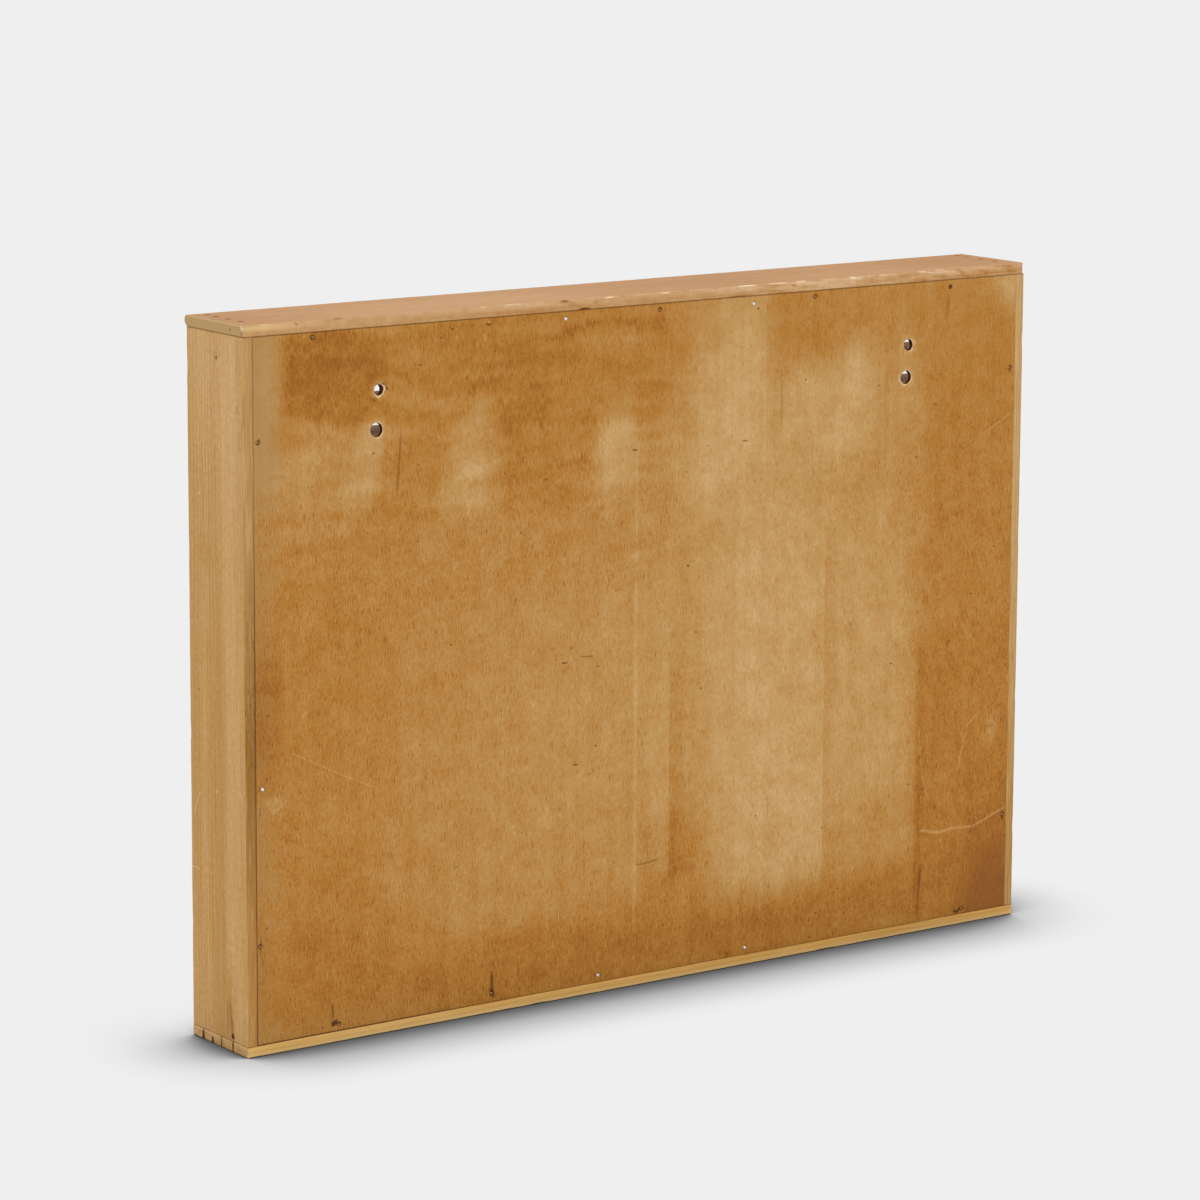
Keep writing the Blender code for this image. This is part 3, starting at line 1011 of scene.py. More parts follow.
def line_group():
    """1 on a straight mark between two points, fading to 0 beside it."""
    labels = (
        "X", "Y", "Share X", "Share Y", "Share 0", "From X", "From Y", "Run X", "Run Y",
        "Outer", "Inner", "Taper",
    )
    group, n, start, end = new_group(
        "line_mark", [(label, FLOAT) for label in labels], [("Mark", FLOAT)]
    )
    t = n.math("MULTIPLY_ADD", start["X"], start["Share X"], start["Share 0"])
    t = n.math("MULTIPLY_ADD", start["Y"], start["Share Y"], t, clamp=True)
    off_x = n.math("SUBTRACT", start["X"], n.math("MULTIPLY_ADD", t, start["Run X"], start["From X"]))
    off_y = n.math("SUBTRACT", start["Y"], n.math("MULTIPLY_ADD", t, start["Run Y"], start["From Y"]))
    away = n.math("SQRT", n.math("MULTIPLY_ADD", off_x, off_x, n.times(off_y, off_y)))
    near_end = n.math("MINIMUM", t, n.math("SUBTRACT", 1.0, t))
    taper = n.ease(near_end, -0.001, start["Taper"])
    n.feed(end[0], n.times(taper, n.ease(away, start["Outer"], start["Inner"])))
    return group


NOISE, DOTS, PLACE = noise_group(), dots_group(), place_group()
PATCH, LINE = patch_group(), line_group()


class Paint(Nodes):
    """One Principled material. x, y, z are the surface point in the row frame, in mm."""

    def __init__(self, name, metallic=0.0, specular=0.25):
        material = bpy.data.materials.new(name)
        material.use_nodes = True
        super().__init__(material.node_tree)
        self.material = material
        self.shader = material.node_tree.nodes["Principled BSDF"]
        self.shader.inputs["Metallic"].default_value = metallic
        self.shader.inputs["Specular IOR Level"].default_value = specular
        self.x, self.y, self.z = self.add("Group", node_tree=PLACE).outputs

    def patch(self, tone, u, v, cu, cv, hu, hv, target, strength=1.0, soft=0.35, power=2.0, lean=0.0):
        node = self.add("Group", node_tree=PATCH)
        for socket, value in zip(
            node.inputs, (tone, u, v, cu, cv, hu, hv, target, strength, soft, power, lean)
        ):
            self.feed(socket, value)
        return node.outputs[0]

    def line(self, at, a, b, half, fade, taper=0.0):
        run = (b[0] - a[0], b[1] - a[1])
        square = run[0] ** 2 + run[1] ** 2
        share = (run[0] / square, run[1] / square)
        start = -(a[0] * share[0] + a[1] * share[1])
        node = self.add("Group", node_tree=LINE)
        for socket, value in zip(node.inputs, (*at, *share, start, *a, *run, half + fade, half, taper)):
            self.feed(socket, value)
        return node.outputs[0]

    def away(self, x, y, cx, cy):
        """Distance from a fixed point."""
        x, y = self.math("SUBTRACT", x, cx), self.math("SUBTRACT", y, cy)
        return self.math("SQRT", self.math("MULTIPLY_ADD", x, x, self.times(y, y)))

    def strokes(self, at, points, half, fade):
        """The strongest of a chain of straight marks."""
        mark = None
        taper = 0.35 if len(points) == 2 else 0.0
        for a, b in zip(points, points[1:]):
            one = self.line(at, a, b, half, fade, taper)
            mark = one if mark is None else self.math("MAXIMUM", mark, one)
        return mark

    def finish(self, colour, rough, height=None, strength=0.35, distance=0.0004):
        self.feed(self.shader.inputs["Base Color"], colour)
        self.feed(self.shader.inputs["Roughness"], rough)
        if height is not None:
            bump = self.add("Bump")
            bump.inputs["Strength"].default_value = strength
            bump.inputs["Distance"].default_value = distance
            self.feed(bump.inputs["Height"], height)
            self.feed(self.shader.inputs["Normal"], bump.outputs["Normal"])
        return self.material


# -------------------------------------------------------- back panel's veneer
PANEL_TONES = (
    # centre from the panel's left as seen from behind, height, half sizes, tone, strength,
    # softness, power, and how far it leans per mm of height
    (50, 210, 50, 105, 0.30, 0.9, 0.8, 2, 0.15),  # the left middle, darker
    (305, 185, 125, 105, 0.65, 1, 0.6, 3, 0.25),  # a broad paler middle
    (190, 300, 90, 30, 0.40, 0.8, 0.9, 3, 0.30),  # above it
    (435, 185, 85, 120, 0.80, 1, 0.5, 4, -0.15),  # pale, right of centre
    (390, 160, 45, 130, 0.95, 0.9, 0.5, 4, -0.05),  # its palest upright band
    (350, 370, 35, 65, 1.00, 1, 0.5, 3, 0.0),  # the band's top
    (215, 390, 110, 65, 0.30, 1, 0.4, 4, 0.15),  # the dark top
    (225, 410, 100, 20, 0.20, 0.8, 0.8, 2, 0.0),
    (200, 370, 30, 40, 0.15, 0.7, 0.7, 2, 0.35),
    (60, 405, 42, 27, 0.05, 1, 0.3, 3, -0.20),  # the dark block at the top left
    (15, 395, 10, 50, 0.70, 0.9, 0.7, 2, 0.0),  # the pale strip beside it
    (45, 345, 45, 25, 0.60, 1, 0.35, 4, 0.10),  # the pale area under it
    (85, 353, 10, 28, 0.85, 0.9, 0.7, 2, 0.20),
    (105, 345, 9, 50, 0.30, 0.8, 0.8, 2, 0.0),
    (160, 345, 18, 30, 0.90, 0.9, 0.7, 2, 0.05),  # three pale spots
    (270, 345, 18, 28, 0.98, 0.9, 0.7, 2, 0.05),
    (312, 345, 15, 25, 0.70, 0.7, 0.5, 2, 0.05),
    (420, 420, 30, 28, 0.30, 1, 0.5, 3, 0.0),  # dark along the top right
    (500, 410, 75, 20, 0.40, 0.9, 0.5, 3, -0.25),
    (430, 350, 45, 32, 0.90, 0.9, 0.5, 3, 0.10),  # the pale reach below that
    (460, 370, 15, 25, 1.05, 0.9, 0.8, 2, 0.05),
    (495, 350, 27, 40, 0.65, 0.8, 0.6, 2, -0.20),
    (480, 70, 40, 28, 0.55, 0.9, 0.4, 3, 0.25),
    (562, 105, 52, 115, 0.23, 1, 0.2, 4, 0.0),  # the dark right side
    (560, 310, 47, 100, 0.30, 1, 0.3, 4, 0.05),
    (590, 428, 15, 17, 0.95, 0.9, 0.8, 2, -0.20),  # a pale corner
    (580, 45, 32, 50, 0.00, 1, 0.7, 2.5, 0.20),  # the darkest corner
    (580, 15, 26, 26, -0.35, 1, 0.7, 2, -0.10),
    (310, 10, 240, 35, 0.10, 1, 0.55, 6, 0.25),  # dark along the bottom
    (315, 70, 20, 42, 0.25, 0.9, 0.9, 2, -0.05),
    (55, 45, 60, 35, 0.20, 0.9, 0.6, 3, -0.30),  # a dark foot at the left
    (65, 97, 28, 25, 0.25, 0.9, 0.7, 2, 0.05),
    (10, 210, 12, 40, 0.05, 1, 0.7, 2, -0.05),  # grime at the left edge
    (305, 170, 9, 90, 0.80, 0.8, 0.4, 4, 0.0),  # a pale streak by the middle joint
)


def panel_paint():
    p = Paint("panel_veneer", specular=0.06)
    u = p.math("SUBTRACT", X_OUT, p.x)
    v = p.z

    # the edges of the stains wander, in fingers that follow the upright grain
    du, dv, _ = p.noise((u, 0.017), (v, 0.017), 0.0, 3.0, 0.55, three=True)
    fingers = p.noise((u, 0.22), (v, 0.012), 0.0, 3.0, 0.6)
    hairs = p.noise((u, 0.9), (v, 0.025), 3.0, 2.0, 0.6)
    wu = p.plus(u, p.times(p.math("SUBTRACT", du, 0.5), 18.0))
    wv = p.plus(v, p.times(p.math("SUBTRACT", dv, 0.5), 18.0))
    wv = p.plus(wv, p.times(p.math("SUBTRACT", fingers, 0.5), 20.0))
    wv = p.plus(wv, p.times(p.math("SUBTRACT", hairs, 0.5), 14.0))

    tone = 0.48
    for cu, cv, hu, hv, target, strength, soft, power, lean in PANEL_TONES:
        tone = p.patch(tone, wu, wv, cu, cv, hu, hv, target, strength, soft, power, lean)

    # clouding and figure of the rotary-cut veneer
    clouds = p.noise((u, 0.055), (v, 0.055), 0.0, 5.0, 0.68, 0.4)
    tone = p.plus(tone, p.times(p.math("SUBTRACT", clouds, 0.5), 0.78))
    # rippled bands across the upper left, wiped streaks leaning across the pale middle
    figure = p.noise((wu, 0.016), (wv, 0.13), 5.0, 3.0, 0.6, 0.5)
    rippled = p.times(p.ease(u, 345.0, 290.0), p.ease(v, 215.0, 345.0, 0.15, 1.0))
    tone = p.plus(tone, p.times(p.times(p.math("SUBTRACT", figure, 0.5), rippled), 1.05))
    wiped = p.noise(
        p.plus(p.times(u, 0.15), p.times(v, 0.084)), p.plus(p.times(u, 0.010), p.times(v, -0.018)), 2.0, 3.0, 0.6
    )
    swept = p.times(p.ease(u, 330.0, 390.0), p.times(p.ease(v, 350.0, 290.0), p.ease(v, 40.0, 80.0)))
    tone = p.plus(tone, p.times(p.times(p.math("SUBTRACT", wiped, 0.5), swept), 0.38))
    streaks = p.noise((u, 0.16), (v, 0.008), 9.0, 4.0, 0.6)
    tone = p.plus(tone, p.times(p.math("SUBTRACT", streaks, 0.5), 0.42))
    mottle = p.noise((u, 0.42), (v, 0.30), 0.0, 3.0, 0.65)
    tone = p.plus(tone, p.times(p.math("SUBTRACT", mottle, 0.5), 0.50))

    # joints between the veneer's strips
    wob = p.times(p.math("SUBTRACT", p.noise(3.0, (v, 0.02)), 0.5), 1.6)
    uj = p.plus(u, wob)
    pale_line = p.times(p.ease(p.math("ABSOLUTE", p.math("SUBTRACT", uj, 284.0)), 2.2, 0.2), p.ease(v, 385.0, 320.0))
    broken = p.ease(p.noise(1.0, (v, 0.035), 4.0, 3.0, 0.6), 0.34, 0.60, 0.25, 1.0)
    tone = p.plus(tone, p.times(p.times(pale_line, broken), 0.26))
    step_a = p.times(p.ease(uj, 310.2, 310.9), p.times(p.ease(uj, 326.0, 311.0), p.times(p.ease(v, 250.0, 190.0), p.ease(v, 50.0, 80.0))))
    tone = p.math("SUBTRACT", tone, p.times(step_a, 0.26))
    step_b = p.times(p.ease(uj, 434.2, 434.9), p.times(p.ease(uj, 448.0, 435.0), p.times(p.ease(v, 285.0, 240.0), p.ease(v, 36.0, 50.0))))
    tone = p.math("SUBTRACT", tone, p.times(step_b, 0.20))
    step_c = p.times(p.ease(uj, 511.4, 512.2), p.times(p.ease(uj, 530.0, 513.0), p.times(p.ease(v, 215.0, 180.0), p.ease(v, 4.0, 20.0))))
    tone = p.math("SUBTRACT", tone, p.times(step_c, 0.16))
    tone = p.plus(tone, p.times(p.times(p.ease(p.math("ABSOLUTE", p.math("SUBTRACT", uj, 384.0)), 2.2, 0.4), p.ease(v, 280.0, 330.0)), 0.10))

    # pores: short upright dashes, dark and light, and a fine tooth
    pores = p.noise((u, 1.45), (v, 0.15), 2.0, 2.0, 0.72)
    dark_pores = p.ease(pores, 0.54, 0.74)
    light_pores = p.ease(pores, 0.46, 0.26)
    tooth = p.noise((u, 1.30), (v, 0.48), 6.0, 3.0, 0.80)
    grit = p.plus(p.times(light_pores, 0.36), p.times(dark_pores, -0.64))
    grit = p.plus(grit, p.times(p.math("SUBTRACT", tooth, 0.5), 1.20))
    # painted light: the lowest 30 mm of the panel is lifted paler, to make up for the dim light off the shadowed
    # floor
    tone = p.plus(tone, p.ease(v, 30.0, 8.0, 0.0, 0.10))
    calm = p.ease(v, 310.0, 390.0, 1.0, 0.70)
    tone = p.plus(tone, p.times(grit, p.times(p.ease(tone, 0.5, 1.0, 1.05, 0.70), calm)))

    colour = p.ramp(
        p.ease(tone, -0.5, 1.3, smooth=False),
        [
            (0.0, srgb(122, 72, 30)),
            (0.11, srgb(141, 88, 38)),
            (0.24, srgb(155, 97, 36)),
            (0.33, srgb(168, 109, 43)),
            (0.44, srgb(176, 121, 53)),
            (0.555, srgb(181, 131, 69)),
            (0.69, srgb(188, 144, 87)),
            (0.80, srgb(195, 154, 100)),
            (0.90, srgb(202, 164, 113)),
            (1.0, srgb(212, 178, 130)),
        ],
    )

    # greyish handling dirt up the left edge and in the lower left
    dirt = p.times(p.ease(wu, 30.0, 8.0), p.ease(clouds, 0.35, 0.65, 0.35, 1.0))
    colour = p.blend(p.times(dirt, 0.45), colour, srgb(160, 122, 74))
    olive = p.times(p.ease(wu, 34.0, 16.0), p.ease(wv, 318.0, 352.0))
    colour = p.blend(p.times(olive, p.ease(tooth, 0.3, 0.6, 0.75, 0.35)), colour, srgb(172, 137, 88))
    # red-brown warmth in the lower right corner
    warm = p.times(p.ease(wu, 530.0, 585.0), p.ease(wv, 90.0, 20.0))
    colour = p.blend(p.times(warm, 0.6), colour, srgb(140, 86, 42))

    # Always 0, but known only once the tone is: Cycles would otherwise work out every mark below
    # before anything else and run out of room for their values.
    late = p.math("MINIMUM", p.plus(tone, 20.0), 0.0)
    u2, v2 = p.plus(u, late), p.plus(v, late)

    # dark upright streaks and rust runs: points, half width, fade, strength
    at = (p.plus(u2, p.times(p.math("SUBTRACT", hairs, 0.5), 1.4)), v2)
    for points, half, fade, strength, tint in (
        (((110.2, 372.0), (108.0, 346.0)), 0.15, 1.3, 0.50, (126, 72, 24)),
        (((108.8, 356.0), (106.4, 328.0)), 0.10, 1.2, 0.55, (126, 72, 24)),
        (((397.2, 391.0), (397.8, 337.0)), 0.05, 1.1, 0.42, (150, 98, 44)),
        (((422.0, 352.0), (424.4, 296.0)), 0.10, 1.6, 0.20, (150, 98, 44)),
        (((513.6, 84.0), (517.8, 42.0)), 0.05, 1.3, 0.38, (136, 80, 34)),
        (((518.0, 48.0), (516.2, 24.0)), 0.35, 1.5, 0.75, (118, 60, 24)),
        (((516.8, 32.0), (515.2, 6.0)), 0.15, 1.3, 0.60, (124, 68, 28)),
        (((534.0, 427.0), (532.6, 404.0)), 0.45, 1.9, 0.42, (138, 80, 26)),
        (((246.3, 62.0), (248.2, 8.0)), 0.05, 1.1, 0.32, (134, 82, 34)),
        (((243.8, 114.0), (245.6, 68.0)), 0.05, 1.1, 0.26, (146, 92, 40)),
        (((361.7, 127.0), (362.2, 114.0)), 0.05, 0.6, 0.45, (138, 88, 40)),
        (((389.6, 112.0), (389.9, 90.0)), 0.05, 0.7, 0.38, (146, 96, 44)),
        (((320.0, 152.0), (320.2, 142.0)), 0.05, 0.5, 0.55, (126, 76, 34)),
        (((59.4, 26.0), (60.2, 13.0)), 0.15, 1.4, 0.60, (96, 56, 26)),
        (((60.0, 14.4), (61.6, 9.4)), 1.5, 1.7, 0.85, (72, 34, 20)),
        (((175.3, 28.0), (175.6, 12.0)), 0.25, 1.5, 0.80, (78, 42, 20)),
        (((174.6, 17.0), (176.6, 8.5)), 0.9, 1.2, 0.85, (70, 38, 20)),
        (((547.6, 9.2), (550.0, 8.4), (552.4, 10.6)), 0.5, 1.0, 0.80, (70, 36, 20)),
        (((426.3, 11.0), (424.4, 9.0)), 0.3, 0.7, 0.70, (96, 54, 26)),
        (((588.6, 73.4), (588.3, 65.2)), 0.35, 0.7, 0.85, (62, 30, 20)),
        (((587.3, 373.4), (587.5, 367.0)), 0.3, 0.7, 0.60, (104, 60, 28)),
        (((589.6, 287.0), (588.2, 274.0)), 0.15, 0.9, 0.32, (124, 74, 34)),
        (((9.6, 152.6), (9.6, 145.2)), 0.2, 0.5, 0.55, (92, 58, 28)),
        (((9.9, 75.0), (9.1, 60.0)), 0.2, 0.9, 0.50, (96, 62, 32)),
        (((10.6, 373.0), (10.6, 369.8)), 0.3, 0.5, 0.70, (92, 58, 28)),
    ):
        mark = p.times(p.strokes(at, points, half, fade), strength)
        colour = p.blend(mark, colour, srgb(*tint))

    # small dark flecks that lie across the grain, and pin specks
    fleck = None
    for a, b, half, strength in (
        ((228.0, 214.2), (231.6, 214.0), 0.28, 0.75),
        ((242.4, 216.5), (251.1, 216.1), 0.12, 0.55),
        ((254.0, 209.2), (256.0, 209.0), 0.2, 0.55),
        ((285.5, 78.2), (291.0, 78.0), 0.2, 0.5),
        ((291.0, 78.0), (301.9, 79.3), 0.2, 0.55),
        ((237.2, 148.7), (239.6, 148.6), 0.25, 0.75),
        ((281.2, 342.8), (284.2, 342.6), 0.3, 0.7),
        ((367.0, 341.5), (369.8, 341.0), 0.3, 0.6),
        ((476.2, 368.2), (477.0, 367.8), 0.3, 0.6),
        ((524.0, 352.0), (525.0, 351.6), 0.35, 0.6),
        ((335.0, 186.0), (335.4, 185.6), 0.4, 0.6),
        ((330.8, 222.6), (331.2, 222.2), 0.4, 0.55),
        ((214.0, 330.2), (216.4, 330.0), 0.25, 0.5),
        ((92.0, 262.0), (94.5, 262.4), 0.2, 0.4),
        ((148.0, 96.0), (150.2, 96.0), 0.25, 0.45),
        ((455.0, 214.0), (457.0, 213.6), 0.3, 0.45),
        ((97.2, 398.6), (98.8, 397.7), 0.5, 1.0),
        ((98.9, 396.6), (99.8, 395.4), 0.5, 1.0),
        ((90.2, 389.4), (91.0, 388.9), 0.25, 0.6),
        ((145.8, 428.2), (147.0, 427.6), 0.3, 0.7),
        ((171.6, 428.9), (174.4, 428.5), 0.3, 0.75),
        ((122.4, 408.0), (124.4, 407.6), 0.25, 0.6),
    ):
        one = p.times(p.line((u2, v2), a, b, half, 0.45), strength)
        fleck = one if fleck is None else p.math("MAXIMUM", fleck, one)
    colour = p.blend(fleck, colour, srgb(84, 46, 18))
    far, pick, size = p.dots((u, 0.055), (v, 0.075))
    specks = p.times(p.ease(far, p.mix(size, 0.042, 0.082), 0.024), p.ease(pick, 0.56, 0.62))
    colour = p.blend(p.times(specks, 0.85), colour, srgb(104, 60, 22))
    far2, pick2, _ = p.dots((u, 0.10), (v, 0.34), 7.0)
    flecks = p.times(p.ease(far2, 0.11, 0.03), p.ease(pick2, 0.80, 0.84))
    colour = p.blend(p.times(flecks, 0.28), colour, srgb(120, 76, 34))

    # pale scratches: points, half width, fade, strength
    shaky = (
        p.plus(u, p.times(p.math("SUBTRACT", mottle, 0.5), 1.6)),
        p.plus(v, p.times(p.math("SUBTRACT", tooth, 0.5), 1.6)),
    )
    patchy = p.ease(p.noise((u, 0.5), (v, 0.5)), 0.36, 0.56)
    scratch = None
    for points, half, fade, strength in (
        (((566.7, 329.8), (579.0, 336.0), (588.9, 341.3)), 0.15, 0.7, 0.75),
        (((545.9, 295.7), (557.9, 295.9)), 0.1, 0.5, 0.4),
        (((514.5, 136.1), (518.2, 104.1), (522.3, 90.7)), 0.15, 0.6, 0.6),
        (((566.1, 142.6), (556.3, 135.0), (551.0, 116.7), (547.8, 104.3)), 0.2, 0.7, 0.65),
        (((517.2, 68.5), (533.4, 64.9), (544.6, 66.4)), 0.45, 0.9, 0.9),
        (((544.6, 66.4), (562.4, 65.3), (588.4, 74.0)), 0.3, 0.9, 0.75),
        (((533.9, 64.1), (537.6, 49.4)), 0.15, 0.7, 0.7),
        (((32.0, 182.0), (60.0, 168.0), (88.0, 154.6)), 0.12, 0.6, 0.60),
        (((497.0, 178.0), (500.0, 140.0), (506.0, 118.0)), 0.1, 0.5, 0.35),
        (((186.0, 408.0), (193.0, 384.0)), 0.1, 0.6, 0.3),
        (((169.5, 425.0), (170.9, 417.6)), 0.5, 0.9, 0.9),
        (((133.4, 424.5), (134.8, 420.0)), 0.4, 0.9, 0.7),
        (((149.0, 424.9), (150.0, 420.4)), 0.3, 0.7, 0.6),
        (((172.4, 430.4), (174.0, 430.2)), 0.4, 0.6, 1.0),
        (((72.0, 398.0), (84.0, 412.0)), 0.1, 0.6, 0.35),
        (((418.0, 308.0), (436.0, 262.0)), 0.1, 0.6, 0.25),
        (((330.0, 60.0), (338.0, 84.0)), 0.1, 0.6, 0.4),
        (((340.0, 96.0), (352.0, 60.0)), 0.1, 0.7, 0.3),
        (((571.0, 150.0), (577.0, 118.0)), 0.1, 0.7, 0.35),
        (((455.0, 66.0), (466.0, 30.0)), 0.1, 0.6, 0.3),
    ):
        one = p.times(p.strokes(shaky, points, half, fade), strength)
        scratch = one if scratch is None else p.math("MAXIMUM", scratch, one)
    scratch = p.times(scratch, p.mix(patchy, 0.35, 1.0))
    colour = p.blend(p.times(scratch, 0.55), colour, srgb(210, 170, 112))
    smudge = p.patch(0.0, wu, wv, 577.5, 131.0, 4.0, 9.0, 0.36, 1.0, 0.8)
    smudge = p.patch(smudge, wu, wv, 21.0, 153.0, 6.0, 5.0, 0.42, 1.0, 0.8)
    colour = p.blend(p.times(smudge, p.ease(mottle, 0.3, 0.6)), colour, srgb(206, 170, 118))

    # dark ring round each dull nail: partly a stain where the nail bites, partly painted shade in its crater,
    # strongest on the upper side
    ring = None
    for number, (x, z) in enumerate(PANEL_NAILS + EXTRA_NAILS, 1):
        if number in BRIGHT:
            continue
        one = p.ease(p.away(p.x, p.z, x, z + 0.3), 2.1, 1.5)
        ring = one if ring is None else p.math("MAXIMUM", ring, one)
    colour = p.blend(p.times(ring, p.ease(mottle, 0.40, 0.62, 0.12, 0.62)), colour, srgb(104, 58, 22))

    # dirt in the crack all round
    low_seam = p.times(p.ease(p.math("SUBTRACT", v, P_LOW), 1.1, 0.3), p.ease(p.x, 60.0, 230.0, 0.12, 0.85))
    left_seam = p.times(p.ease(p.math("SUBTRACT", P_X, p.x), 0.9, 0.2), p.ease(v, 330.0, 260.0, 0.35, 0.80))
    top_seam = p.times(p.ease(p.math("SUBTRACT", P_HIGH, v), 0.9, 0.2), 0.50)
    seam = p.math("MAXIMUM", low_seam, p.math("MAXIMUM", left_seam, top_seam))
    colour = p.blend(seam, colour, srgb(78, 40, 22))

    # broken veneer: pale where freshly open, dark brown down in the bore, partly dirt and partly painted shade
    under = p.math("SUBTRACT", Y_BACK, p.y)
    hole = None
    for x, z, radius in HANG_HOLES:
        away = p.math("SUBTRACT", p.away(p.x, p.z, x, z), radius)
        hole = away if hole is None else p.math("MINIMUM", hole, away)
    near = p.ease(hole, 3.2, 1.6)
    torn = p.times(near, p.ease(under, 0.12, 0.22))
    colour = p.blend(torn, colour, p.blend(p.ease(tooth, 0.35, 0.7), srgb(206, 168, 118), srgb(226, 198, 158)))
    bruise = p.times(p.ease(hole, 4.2, 0.8), p.ease(under, 0.2, 0.1))
    colour = p.blend(p.times(bruise, p.ease(mottle, 0.35, 0.65, 0.1, 0.5)), colour, srgb(206, 168, 116))
    # painted shade with dirt: the bore's wall darkens from about 0.6 mm down, its plies in two browns
    bore = p.times(p.ease(hole, 0.9, 0.3), p.ease(under, 0.55, 0.8))
    plies = p.ease(p.math("ABSOLUTE", p.math("SUBTRACT", under, 1.8)), 0.75, 0.95)
    colour = p.blend(bore, colour, p.blend(plies, srgb(52, 28, 18), srgb(84, 52, 32)))

    # the inner face was never finished: paler, drier, same upright grain
    inner_tone = p.plus(0.62, p.times(p.math("SUBTRACT", streaks, 0.5), 0.9))
    inner_tone = p.math("SUBTRACT", inner_tone, p.times(dark_pores, 0.3))
    inner_tone = p.plus(inner_tone, p.times(p.math("SUBTRACT", clouds, 0.5), 0.5))
    inner = p.ramp(
        p.ease(inner_tone, 0.0, 1.2, smooth=False),
        [
            (0.0, srgb(164, 120, 72)),
            (0.5, srgb(190, 149, 98)),
            (1.0, srgb(210, 174, 126)),
        ],
    )
    colour = p.blend(p.ease(under, PANEL - 0.5, PANEL - 0.25), colour, inner)

    colour = p.blend(1.0, colour, (1.0, 1.0, 0.972, 1.0), "MULTIPLY")
    rough = p.plus(p.mix(p.ease(tone, 0.0, 1.0), 0.42, 0.58), p.times(dark_pores, 0.15))
    rough = p.plus(rough, p.times(torn, 0.3))
    height = p.plus(p.times(dark_pores, -0.5), p.times(tooth, 0.5))
    height = p.plus(height, p.times(pale_line, -0.4))
    height = p.math("SUBTRACT", height, p.times(scratch, 0.8))
    height = p.plus(height, p.times(p.times(torn, mottle), 1.5))
    return p.finish(colour, rough, height, 0.30, 0.0003)


# ----------------------------------------------------------- boards of pine
def rings_of(p, along, a, b, heart, pitch, bend, seed):
    """Growth rings round a heart line along the board: 1 in each ring's latewood and 0 in its
    earlywood, a value of each ring's own, and the distance from the heart line."""
    sa, sb, _ = p.noise(
        (along, 0.0045), (a, 0.02), p.plus(p.times(b, 0.02), seed), 2.0, 0.5, three=True
    )
    ra = p.plus(p.math("SUBTRACT", a, heart[0]), p.times(p.math("SUBTRACT", sa, 0.5), bend))
    rb = p.plus(p.math("SUBTRACT", b, heart[1]), p.times(p.math("SUBTRACT", sb, 0.5), bend))
    radius = p.math("SQRT", p.math("MULTIPLY_ADD", ra, ra, p.times(rb, rb)))
    phase = p.math("DIVIDE", radius, pitch)
    wander = p.noise((radius, 0.12), (along, 0.003), seed)
    phase = p.plus(phase, p.times(wander, 1.4))
    share = p.math("FRACT", phase)
    late = p.times(p.ease(share, 0.35, 0.86), p.ease(share, 1.0, 0.90))
    year = p.noise((p.math("FLOOR", phase), 1.7), seed * 1.7, 0.85, 0.0)
    return late, year, radius


def grain_of(p, along, a, b, seed):
    fibre = p.noise((along, 0.035), (a, 1.3), p.plus(p.times(b, 1.3), seed), 3.0, 0.65)
    band = p.noise((along, 0.008), (a, 0.22), p.plus(p.times(b, 0.22), seed), 3.0, 0.6)
    cloud = p.noise((along, 0.016), (a, 0.05), p.plus(p.times(b, 0.05), seed + 3), 3.0, 0.55)
    return fibre, band, cloud


SIDE_TONES = (
    # centre (y, height), half sizes, tone, softness, lean
    (16, 230, 8, 260, 0.66, 0.9, 0.0),  # a pale band up the rear half
    (16, 400, 11, 70, 0.74, 0.9, 0.0),  # wider towards the top
    (2, 130, 9, 150, 0.38, 0.8, 0.0),  # golden lower middle
    (-14, 425, 14, 50, 0.72, 0.8, 0.0),  # paler at the top of the front
    (-24, 200, 6, 130, 0.46, 0.7, 0.0),  # browner near the front
    (-8, 300, 9, 8, 0.42, 0.9, 0.0),  # two smudges
    (-6, 247, 7, 6, 0.44, 0.9, 0.0),
    (10, 25, 7, 26, 0.36, 0.8, 0.05),  # a darker foot
    (29, 230, 3, 230, 0.54, 0.7, 0.0),  # the strip by the rear arris
)


# rear edges of the sides: handled brown about the middle, lighter above
LIP_RIGHT = [
    (0.10, srgb(178, 132, 76)),
    (0.42, srgb(150, 105, 48)),
    (0.75, srgb(184, 144, 92)),
]
LIP_LEFT = [
    (0.15, srgb(180, 137, 80)),
    (0.60, srgb(196, 157, 106)),
]


